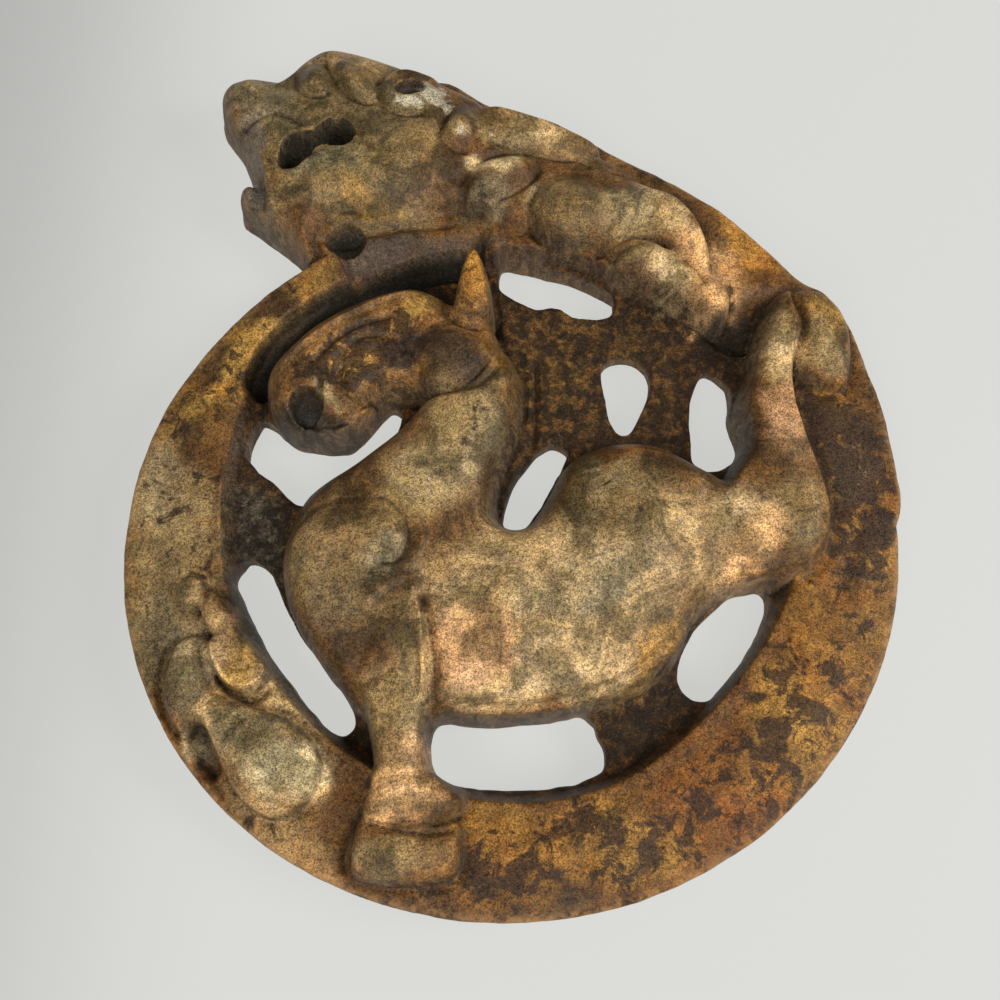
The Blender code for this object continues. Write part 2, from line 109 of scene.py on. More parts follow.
OPENINGS = {
    "behind_ear": ((-2.5, 57), (-1.5, 63.5), (6, 62), (15.5, 58.5), (22, 54.5), (21.5, 49), (15.5, 48.5),
                   (10, 51), (5, 51), (0, 54)),
    "over_rump": ((19.5, 36), (22, 38.5), (27, 38), (29.5, 33), (27.5, 26), (24, 21), (21, 23), (20, 29)),
    "at_hock": ((39.5, 33), (42, 35.5), (46.5, 31), (46, 25), (47.5, 18), (42.5, 13), (37.5, 15),
                (37.5, 25)),
    "behind_neck": ((8, 18.5), (11.5, 17), (10.5, 13.5), (6, 5), (2, 0), (-1.5, 1.5), (-0.5, 8),
                    (3.5, 14.5)),
    "under_muzzle": ((-55, 17.5), (-53.5, 23), (-50.5, 24), (-46, 20), (-41, 18.5), (-33.5, 19),
                     (-29.5, 23.5), (-25.5, 28), (-23, 25.5), (-25.5, 18), (-34, 11), (-42, 5.5),
                     (-48.5, 10), (-52.5, 13)),
    "before_chest": ((-55, -9.5), (-52.5, -6.5), (-48, -8.5), (-42.5, -19), (-36.5, -27.5), (-29.5, -37),
                     (-32, -40.5), (-38, -36), (-46.5, -25.5), (-52.5, -15.5)),
    "under_belly": ((-13.5, -38), (-4, -38.5), (6, -38), (12.6, -36.5), (15.2, -38.4), (15.9, -41),
                    (17.2, -44.2), (15.8, -47.6), (6, -50), (-5, -50), (-13.5, -48), (-15.5, -43)),
    "behind_thigh": ((36.5, -19.5), (43, -13.5), (49.5, -12), (50.5, -16), (45.5, -25), (37, -34),
                     (32, -31.5), (32.5, -25.5)),
}
BEAST = ((-61.5, 76), (-58.5, 81), (-67, 100), (-66, 105), (-60, 108), (-53, 108.5), (-48, 114),
         (-41, 117), (-24.5, 112), (-12.5, 104.5), (4.5, 96), (18.5, 88.5), (32, 79.5), (39.5, 75),
         (43, 64), (46, 50), (43, 45), (36, 48.5), (26.5, 55.5), (13, 62.5), (0, 66.5), (-10, 71),
         (-28, 69), (-38, 71), (-43.5, 61), (-50, 66))
BEAST_FACE = ((-53, 74), (-54.5, 82), (-58, 88.5), (-62.5, 91.5), (-66, 100), (-64.5, 104.5), (-59, 106.5),
              (-52.5, 107), (-47, 112.5), (-40.5, 115), (-28, 111), (-16, 105.5), (-5, 98.5), (-3, 89),
              (-8, 79), (-20, 73.5), (-36, 72), (-46, 70))
BEAST_SHOULDER = ((5, 70.5), (8, 76.5), (14, 78.5), (20, 76), (22, 69.5), (19, 64), (12, 62.5), (6.5, 65))
BEAST_LEG = ((17, 74), (24, 76.5), (33, 75), (39, 70), (42.5, 62), (42, 55), (37, 58), (32, 63), (26, 66),
             (19, 66.5))
BEAST_PAW = ((22, 57), (25, 61.5), (30, 62), (37, 58), (43, 55), (46.5, 50), (44.5, 44.5), (40, 46.5),
             (33, 51), (26, 54))
BEAST_THROAT = ((-10, 73), (-9, 79), (-4, 83), (3, 83), (4.5, 78.5), (0, 75), (-5, 72.5))
HORSE_BODY = ((-10.5, 38), (-2.5, 40), (2.5, 32), (2, 21), (-2, 8), (-2, 1), (2, -0.5), (6, 4), (11, 13),
              (18, 16.5), (28, 17), (38, 12), (50, 5), (51, -6), (42, -14), (35, -20), (30, -29),
              (20, -35), (6, -38.5), (-10, -39), (-26, -39), (-36, -28), (-43, -17), (-45, -6), (-41, 6),
              (-31, 14), (-22, 22))
CHEST = ((-43, -17), (-45, -7), (-42.5, 0), (-37, 3.5), (-30, 5), (-23, 3.5), (-18.5, -2), (-18, -9),
         (-20, -20), (-25, -31), (-31, -33), (-37, -27))
RUMP = ((10, 10), (18, 15.5), (28, 16), (38, 11), (48, 4), (52, -4), (47, -12), (38, -14), (24, -8),
        (12, 0))
HORSE_HEAD = ((-12, 49), (-4, 45), (-2, 37), (-6, 28.5), (-14, 26.5), (-22.5, 28), (-27, 26.5),
              (-32.5, 19.5), (-42, 18), (-49, 23), (-51, 32), (-45, 41), (-34, 49), (-21, 53))
HORSE_CHIN = ((-42, 19), (-37.5, 14.5), (-32, 14), (-27, 17), (-25.5, 22.5), (-28, 26.5), (-33, 24),
              (-39, 21.5))
HORSE_JAW = ((-20, 33.5), (-16.5, 39.5), (-10.5, 40.5), (-5, 37.5), (-3, 33), (-6.5, 28.5), (-11, 26.5),
             (-17, 27))
HORSE_EAR = ((-12.4, 44), (-12.2, 49), (-11.4, 54), (-10.2, 58.5), (-8.2, 60.8), (-6.2, 59.4),
             (-4.7, 55.5), (-3.6, 50), (-3.6, 44.5), (-8, 41.6))
JAW_LOBE = ((-60.8, 76.2), (-59.4, 79), (-56.8, 79.4), (-54.6, 77.4), (-54.6, 73.8), (-56.8, 72.4),
            (-59.8, 73.6))
FORELEG = ((-20, -13), (-27, -22), (-30, -31), (-28, -36), (-26, -43), (-25.3, -51), (-26, -56),
           (-18, -57.5), (-12.5, -56), (-10, -54.3), (-8.7, -52.2), (-11, -50.4), (-14, -47), (-15.3, -41),
           (-15, -33), (-15.5, -24), (-17.5, -17))
FOREHOOF = ((-26.4, -55), (-18, -56), (-10, -56), (-9, -60), (-9.7, -64.4), (-13, -66), (-20, -66.6),
            (-27, -65.6), (-28.2, -61.8))
FETLOCK = ((-25.4, -50), (-26.3, -56), (-18, -57.8), (-12.5, -56.6), (-9.6, -54.8), (-8.2, -52.2),
           (-11, -50), (-14, -47.6), (-20, -46.5), (-24.6, -47))
HIND_LEG = ((36, -2), (42, 9), (46.5, 17), (46.5, 26), (48.6, 32.5), (51, 40), (54, 48.5), (57.5, 51.8),
            (60.4, 50.6), (61, 42), (59.5, 34), (58.6, 27), (59.8, 18), (62.5, 6), (62.5, -2), (59.5, -8),
            (53, -12.5), (44, -14))
HINDHOOF = ((58, 49.4), (61, 50.6), (65, 50.2), (69, 46), (70.4, 40), (69.8, 33), (68, 28.4), (64, 28.6),
            (60, 30.6), (57.4, 34), (57.2, 42))
NAPE = ((-7, 90.5), (-6, 97.5), (4, 95), (12, 91.2), (18.6, 87.6), (19.4, 83.6), (12, 84.4), (4, 86.4),
        (-2, 88.4))
LIMB = ((-62, -24), (-56, -24), (-54.5, -31.5), (-49, -35.5), (-42, -38), (-36.5, -42), (-34.3, -47),
        (-36.5, -53), (-42, -55.7), (-47.5, -53), (-51.5, -48), (-54, -43), (-57, -39), (-60.5, -40.5),
        (-64, -34))
LIMB_CURL = ((-57, -24.5), (-52.5, -21), (-47.5, -26), (-45, -29.5), (-47.5, -33), (-52, -32.5),
             (-56, -28.5))
LIMB_KNOB = ((-64.3, -15.2), (-63.2, -12), (-60.2, -11.3), (-58.4, -13.4), (-59.2, -16.4), (-62, -17.4))
LIMB_NECK = ((-60, -15.5), (-57.5, -14), (-54, -16.2), (-51.5, -20.5), (-51.6, -25), (-54.5, -26),
             (-56.5, -22.5), (-58.5, -19))

# Lines carved in the face (below 0) or raised on it: points, half width, height, and how sharp the line is
LINES = {
    "lip": (((-61, 90.5), (-57.5, 92.4), (-54.6, 93.6), (-51.5, 93.8), (-48, 92), (-45.5, 89.5)),
            1.7, -1.7, 1.3),
    "lip_edge": (((-56.5, 89.6), (-54, 91.6), (-51.5, 91.8), (-49.5, 90.2)), 1.3, 0.7, 2.0),
    "lower_lip": (((-51.8, 82), (-50.3, 78.2), (-46.5, 77.4), (-43, 80.5), (-39, 82.8)), 1.5, 0.8, 2.0),
    "front_ridge": (((-62.5, 100.5), (-61, 92), (-57, 87), (-53.8, 81), (-52.4, 74), (-51.4, 67.5)),
                    1.3, 1.0, 2.0),
    "brow_groove": (((-42.8, 110.5), (-40.8, 105), (-38.5, 101), (-34, 97), (-29.5, 96)), 1.7, -1.9, 1.2),
    "brow_ridge": (((-38.5, 108), (-36, 103), (-31.5, 99.8), (-28.5, 100.5)), 2.2, 0.9, 2.0),
    "eye_under": (((-48.8, 106.5), (-48.4, 102), (-46, 98.6), (-42.5, 97.8), (-39.8, 99.5)),
                  1.2, -1.1, 1.2),
    "nose_bridge": (((-57, 103.5), (-53, 105), (-49.5, 109.5)), 2.0, -0.8, 2.0),
    "cheek_1": (((-34.5, 88.5), (-31.2, 84.5), (-32, 80.5)), 1.1, -0.7, 1.5),
    "cheek_2": (((-31.5, 89), (-28.3, 85), (-29, 80)), 1.1, -0.5, 1.5),
    "upper_jaw": (((-60, 86.5), (-56, 82.5), (-52, 79.5), (-50, 74)), 1.3, 0.6, 2.0),
    "jaw_fold": (((-47, 73.5), (-39, 71), (-30, 70), (-21, 71), (-12, 73.5)), 1.8, 0.9, 2.0),
    "slope_edge": (((-46.5, 64.5), (-32, 66.5), (-21.5, 68), (-11.5, 69)), 1.6, -0.9, 2.0),
    "ear_groove": (((-13, 95), (-14.8, 91), (-15.5, 87.5), (-13, 84.5), (-8.5, 84)), 1.5, -1.6, 1.2),
    "ear_back": (((-29.5, 104), (-29.6, 98), (-25.5, 93), (-18.5, 92.5)), 1.5, -1.2, 1.4),
    "ear_rim": (((-26.5, 96.5), (-27.6, 101), (-25, 105), (-20, 106), (-16.2, 103)), 1.9, 1.1, 2.0),
    "ear_lobe": (((-26, 97), (-22.5, 96.3), (-19, 97.3)), 2.0, 0.8, 2.0),
    "nape_groove": (((-5, 88.5), (0.5, 85.8), (4.5, 84.5), (10, 83.2), (15.5, 82.8), (18.5, 80)),
                    1.5, -1.6, 1.2),
    "nape_edge": (((-6, 97), (4, 93.5), (13, 88.5), (20, 84.5), (29, 79.5)), 2.2, 0.8, 2.0),
    "leg_strip": (((21, 80.5), (27, 78.8), (33, 76.7), (39, 72.5)), 1.5, -1.3, 1.3),
    "throat_left": (((-11.5, 76), (-8, 81), (-2, 84.6), (4.5, 84.5)), 1.3, -0.9, 1.5),
    "throat_right": (((-7, 72.8), (0, 73.8), (4.8, 77), (6, 80)), 1.3, -1.0, 1.5),
    "shoulder_ring": (((6.5, 76), (4.3, 70.5), (6.5, 64.5), (12, 61.5)), 1.4, -1.2, 1.5),
    "leg_crest": (((28, 73.5), (32.5, 73), (36, 71.5), (39, 67.5), (41, 62)), 1.8, 0.8, 2.0),
    "toe_groove": (((17.5, 60.5), (21.5, 61.8), (25.5, 63.3), (30, 62.6), (34.5, 60)), 1.5, -1.8, 1.2),
    "toe_split": (((36, 58.5), (39.5, 54), (40.5, 50.5)), 1.1, -0.8, 1.3),
    "toe_crest": (((25, 57), (28.5, 59.3), (32.5, 57.5), (36, 54.5)), 1.8, 0.6, 2.0),
    "spiral": (((-27, 3.0), (-24, 2.6), (-20.7, -1.2), (-19.6, -5), (-20.6, -8.6), (-22.8, -10.3),
                (-26, -10)), 1.1, -1.1, 1.1),
    "spiral_lip": (((-22.3, 4), (-18.5, -0.5), (-17, -5), (-18.3, -9.5), (-22, -12.3)), 1.6, 0.7, 2.0),
    "spiral_heart": (((-27, -0.5), (-23.5, -3), (-24, -6.5)), 2.2, 0.5, 2.0),
    "shoulder_edge": (((-43, -9), (-41.5, -3.5), (-38.5, 0.8), (-33, 2.8), (-27.5, 3)), 1.0, -0.6, 1.2),
    "knee": (((-30, -32.7), (-25, -31.8), (-21, -29.8)), 1.5, -0.8, 1.5),
    "leg_step": (((-16.9, -15), (-15.4, -21), (-14.3, -27), (-14.3, -33), (-14.6, -40)), 1.3, -1.4, 1.0),
    "leg_ridge": (((-19, -13.5), (-17.7, -17), (-16.8, -22), (-16.3, -28), (-16.6, -36), (-17, -44)),
                  1.3, 1.1, 1.6),
    "leg_lap": (((-27, -18), (-23.5, -14.5), (-19, -12.8)), 1.8, 0.7, 2.0),
    "leg_notch": (((-18.2, -16), (-16.9, -17.5), (-16.8, -20)), 0.9, -0.9, 1.0),
    "pastern": (((-26, -56.3), (-23, -57), (-18, -57.9), (-13, -58), (-9.5, -57)), 0.9, -1.0, 1.1),
    "pastern_band": (((-25.5, -54.2), (-20, -55.6), (-14, -55.8)), 1.2, -0.5, 1.8),
    "fetlock": (((-24, -51), (-17, -50), (-11, -52)), 2.5, 0.7, 2.0),
    "hoof_left": (((-27.5, -55.5), (-29.2, -60), (-29.4, -65)), 1.3, -0.9, 1.3),
    "horse_jaw_edge": (((-21, 28.3), (-17, 25.9), (-11, 26.6), (-7, 29.3), (-4.2, 34)), 1.1, -1.4, 1.1),
    "horse_jaw_front": (((-21.5, 36.5), (-22.3, 33), (-20.5, 29.5)), 1.6, -0.6, 1.8),
    "muzzle_groove": (((-34.8, 32.5), (-33.8, 28), (-31, 25.3), (-25, 27)), 1.2, -1.3, 1.2),
    "horse_brow": (((-41.5, 31.5), (-38.5, 35), (-35, 38.5), (-29.5, 42), (-24, 43.5)), 1.3, -1.5, 1.2),
    "horse_cheek_line": (((-33.5, 36), (-29, 38.5), (-24, 38), (-21, 34.5)), 1.3, -0.9, 1.3),
    "horse_brow_lump": (((-37, 33.5), (-33.5, 37.8), (-28, 40.8)), 1.9, 0.9, 2.0),
    "forehead": (((-46.5, 31), (-43.5, 36), (-38, 40.8), (-32, 44.8), (-25.5, 47.8), (-19, 49)),
                 1.4, 1.2, 1.8),
    "nose_ridge": (((-37.8, 30), (-37, 26), (-37.3, 22.5), (-39, 19.5)), 1.4, 1.3, 1.6),
    "ear_base": (((-13.6, 48), (-13.8, 43.8), (-8.8, 40.2), (-3.8, 42.2), (-3, 47)), 1.2, -1.0, 1.3),
    "horse_eye": (((-33.5, 36.5), (-30, 37.5), (-27.5, 36)), 1.6, 0.7, 2.0),
    "mane_groove": (((5.2, 38), (5.3, 29), (4.8, 20), (2, 12.5), (-1.5, 6)), 1.2, -1.4, 1.2),
    "mane_line": (((3.1, 36), (3.1, 27), (1.6, 19), (-1.6, 11)), 0.8, -0.6, 1.2),
    "torso_rim": (((7.5, 6), (11, 12), (15.5, 15.3), (22, 16.3), (29, 15.6), (36, 11.8)), 1.2, -0.5, 1.5),
    "belly_line": (((-12.5, -35.2), (-7.5, -36), (0, -36.3), (9, -35), (16.5, -32.8), (22, -29.8),
                    (28, -25), (32, -21.5), (35.5, -16)), 0.9, -1.0, 1.0),
    "belly_lip": (((-12.5, -37), (-2.5, -37.8), (9, -36.6), (17.5, -34.2), (24.8, -30.4), (30.8, -25.4),
                   (34.8, -20.5)), 1.0, 0.6, 2.0),
    "hock_crest": (((55.5, 25), (57.8, 18), (60.3, 9.5), (60.8, 1), (59.2, -5), (55.5, -9.3), (50, -11)),
                   1.6, 0.6, 2.0),
    "hind_hoof_edge": (((58.4, 50.5), (59.6, 46.5), (60.4, 42), (58.8, 36), (57.9, 30), (58.6, 24)),
                       1.1, -1.3, 1.1),
    "hind_leg_edge": (((57.6, 47.5), (58.6, 42.5), (57.2, 36.5), (56.2, 30), (56.6, 24)), 1.2, 0.5, 1.8),
    "hind_pastern": (((49.5, 33.5), (53, 33.6), (57.4, 35)), 1.6, -0.5, 1.8),
    "limb_groove": (((-62.5, -21.5), (-65.2, -27), (-65.3, -33), (-63.4, -38.5), (-60.5, -42)),
                    1.3, -1.2, 1.2),
    "limb_edge": (((-61.5, -23.5), (-63.3, -27.5), (-63.2, -31.5), (-61.9, -36.7), (-59.3, -40.8)),
                  1.2, 0.7, 1.8),
    "limb_pit_tail": (((-55.5, -45.5), (-53.8, -49), (-50.5, -53.5), (-46.5, -56.5)), 1.3, -1.2, 1.2),
    "curl_groove": (((-58.8, -22), (-57.6, -28), (-54.4, -33.4), (-49, -35), (-44, -32)), 1.3, -1.2, 1.1),
    "curl_ridge": (((-55.6, -22.5), (-55, -27), (-53, -31), (-50, -32.6), (-47, -31.6), (-45.4, -29.2),
                    (-46.8, -27.2)), 1.5, 1.1, 1.8),
    "curl_hollow": (((-53.5, -27.5), (-51, -29.5), (-48, -28.7)), 1.1, -0.9, 1.3),
    "knob_split": (((-59, -12.5), (-58, -16), (-59.5, -19)), 0.9, -0.6, 1.3),
    "limb_right": (((-46, -35), (-40, -37.5), (-34.5, -42.5), (-32.5, -48), (-35, -54)), 1.4, -0.5, 1.5),
    "web_crack": (((32.5, -30.5), (30.5, -33), (29.5, -36.5)), 0.5, 0.4, 1.2),
    "ear_strip": (((-5, 75), (-4, 71), (-3.4, 66), (-2.8, 61)), 2.4, 1.0, 2.0),
    "web_rib": (((31, 20), (33.5, 28), (33, 37), (31, 44)), 2.4, 0.6, 2.0),
    "ring_bevel": (((-58.5, 7), (-57, 21.5), (-53.5, 33), (-47.5, 42.5), (-39.5, 50.5), (-28, 57)),
                   1.3, -0.5, 1.5),
    "ring_inner_edge": (((-53.5, -16), (-56.4, -6), (-57.6, 4), (-57.2, 16), (-54.8, 28)), 0.9, 0.35, 2.0),
}
# Soft bumps: place, half widths along and across, turn in degrees, and height
BUMPS = {
    "nostril": ((-58.8, 101), 2.6, 2.5, 0, 1.7),
    "snout_dip": ((-52, 101), 4.5, 4.0, 0, -0.9),
    "eye": ((-43.8, 103.4), 3.6, 3.2, 60, 1.8),
    "brow": ((-34.5, 105.5), 6.5, 4.5, -30, 0.9),
    "muzzle_pad": ((-53, 88.5), 4.5, 3.2, -20, 0.9),
    "chin_beard": ((-43, 77), 7.0, 4.0, 10, 0.7),
    "cheek": ((-24, 84), 9.0, 8.0, 0, 1.2),
    "ear_ring": ((-22.3, 100.3), 6.2, 5.6, 0, 1.2),
    "second_ear": ((-10.2, 90.6), 2.9, 4.4, -15, 2.2),
    "jaw_lobe": ((-57.6, 75.6), 3.2, 3.2, 0, 2.8),
    "throat": ((-2, 79), 6.8, 3.8, 25, 1.4),
    "shoulder": ((13.5, 70.5), 8.5, 7.5, 0, 1.3),
    "leg_bulge": ((30, 69), 9.0, 6.0, -25, 1.0),
    "paw_back": ((29, 57.5), 6.0, 4.0, -30, 0.9),
    "paw_tip": ((42.5, 49), 3.8, 3.6, 0, 0.9),
    "horse_cheek": ((-11.5, 33.5), 9.5, 7.5, 20, 1.5),
    "horse_muzzle": ((-43, 29.5), 6.5, 6.0, 40, 0.9),
    "neck": ((-15, 12), 20.0, 11.0, 60, 1.4),
    "chest": ((-33, -13), 13.0, 11.0, 70, 1.5),
    "flank": ((2, -18), 30.0, 19.0, 8, 1.7),
    "waist": ((-9, -3), 8.0, 10.0, 0, -0.8),
    "rump": ((25, -3), 18.0, 14.0, -20, 1.5),
    "thigh_dip": ((38, -2), 6.0, 10.0, 0, -0.9),
    "web_gap": ((16, 44), 6.0, 5.0, 0, -0.5),
    "hock": ((55, -2), 8.0, 9.0, 0, 1.5),
    "shank": ((54, 18), 4.0, 10.0, -10, 0.7),
    "leg_top": ((-21.5, -22), 6.0, 9.0, 0, 0.9),
    "cannon": ((-21, -42), 4.0, 9.0, 0, 0.7),
    "fore_hoof": ((-19, -61.5), 7.0, 4.0, 0, 0.5),
    "hind_hoof": ((65, 39), 4.5, 9.0, 10, 0.7),
    "limb_bulb": ((-42, -47), 8.5, 7.5, -30, 1.6),
    "limb_stem": ((-60, -31), 4.0, 7.0, 0, 0.8),
}
# Blind grooves: points of the middle line, half width, and depth below 0
PITS = {
    "horse_lip": (((-36, 19.7), (-31, 21.2), (-28, 23)), 0.9, -1.2),
    "limb_hole": (((-58.2, -39.5), (-56.4, -43.5), (-54.6, -47)), 2.2, -2.0),
    "over_head": (((-53, 31), (-50, 39), (-43.5, 46.3), (-35, 52.5), (-26, 56.8), (-18, 59.4),
                   (-11, 60.8)), 2.6, -4.2),
}
# Rounded hollows: outline, depth below 0, and how far in from the outline the floor is reached
HOLLOWS = {
    "mouth": (((-49.8, 79.6), (-50.5, 82.8), (-49.4, 86.2), (-46.6, 88.2), (-44, 88), (-42.4, 89.2),
               (-40, 91.4), (-37, 91.4), (-34.8, 89.2), (-34.6, 86.4), (-36.6, 84.5), (-39.2, 84.7),
               (-41.3, 84.9), (-43, 83.8), (-44.2, 81), (-46.6, 79)), -9.5, 2.6),
    "mouth_corner": (((-49, 80.5), (-49, 85), (-46.5, 86.6), (-44.6, 84.5), (-45, 81), (-47, 79.8)),
                     -2.0, 2.2),
    "chin_hole": (((-40.4, 65.2), (-38.6, 68), (-35.6, 68.8), (-32.8, 67.4), (-31.8, 64.8), (-33.4, 62.4),
                   (-36.2, 61.6), (-39, 62.6)), -3.6, 3.6),
    "ear_hole": (((-25.4, 99.6), (-24.2, 101.8), (-21, 102.4), (-19.2, 100.8), (-20.6, 98.4),
                  (-23.6, 97.6)), -3.2, 1.8),
    "horse_mouth": (((-44.2, 23.6), (-42.8, 26.2), (-39.6, 26.4), (-37.6, 24), (-38.2, 21.2),
                     (-40.6, 19.8), (-43.2, 20.8)), -4.6, 1.8),
}
# Slopes cut into the ground: the line each falls from, its outline, the height on the line, and the fall
SLOPES = {
    "under_jaw": (((-44, 65.2), (-36, 66.6), (-28, 67.8), (-19, 68.6), (-9, 69.6)), ((-37.5, 67),
                   (-28, 68.3), (-19, 69.1), (-9, 70.2), (-5.5, 66), (-6.5, 57), (-14, 55), (-24, 52),
                   (-33, 49.5), (-35.5, 56), (-38.5, 62)), 12.8, 0.6),
    "paw_valley": (((48.5, 52), (53, 54.4), (57.5, 53)), ((41, 44), (45, 48), (48.5, 52.2), (53, 55),
                    (58.5, 53.5), (57, 48), (55, 43), (51, 39), (45.5, 39.5)), 11.2, 0.62),
    "head_front": (((-61.6, 95), (-60, 91), (-57, 87), (-53.8, 81), (-52.4, 74), (-51.4, 66), (-49, 62)),
                   ((-62.5, 94), (-60.6, 91), (-57.4, 87), (-54.2, 81), (-52.8, 74), (-51.8, 66),
                    (-52, 60), (-62, 66), (-70, 76), (-70, 88)), 15.0, 1.25),
}
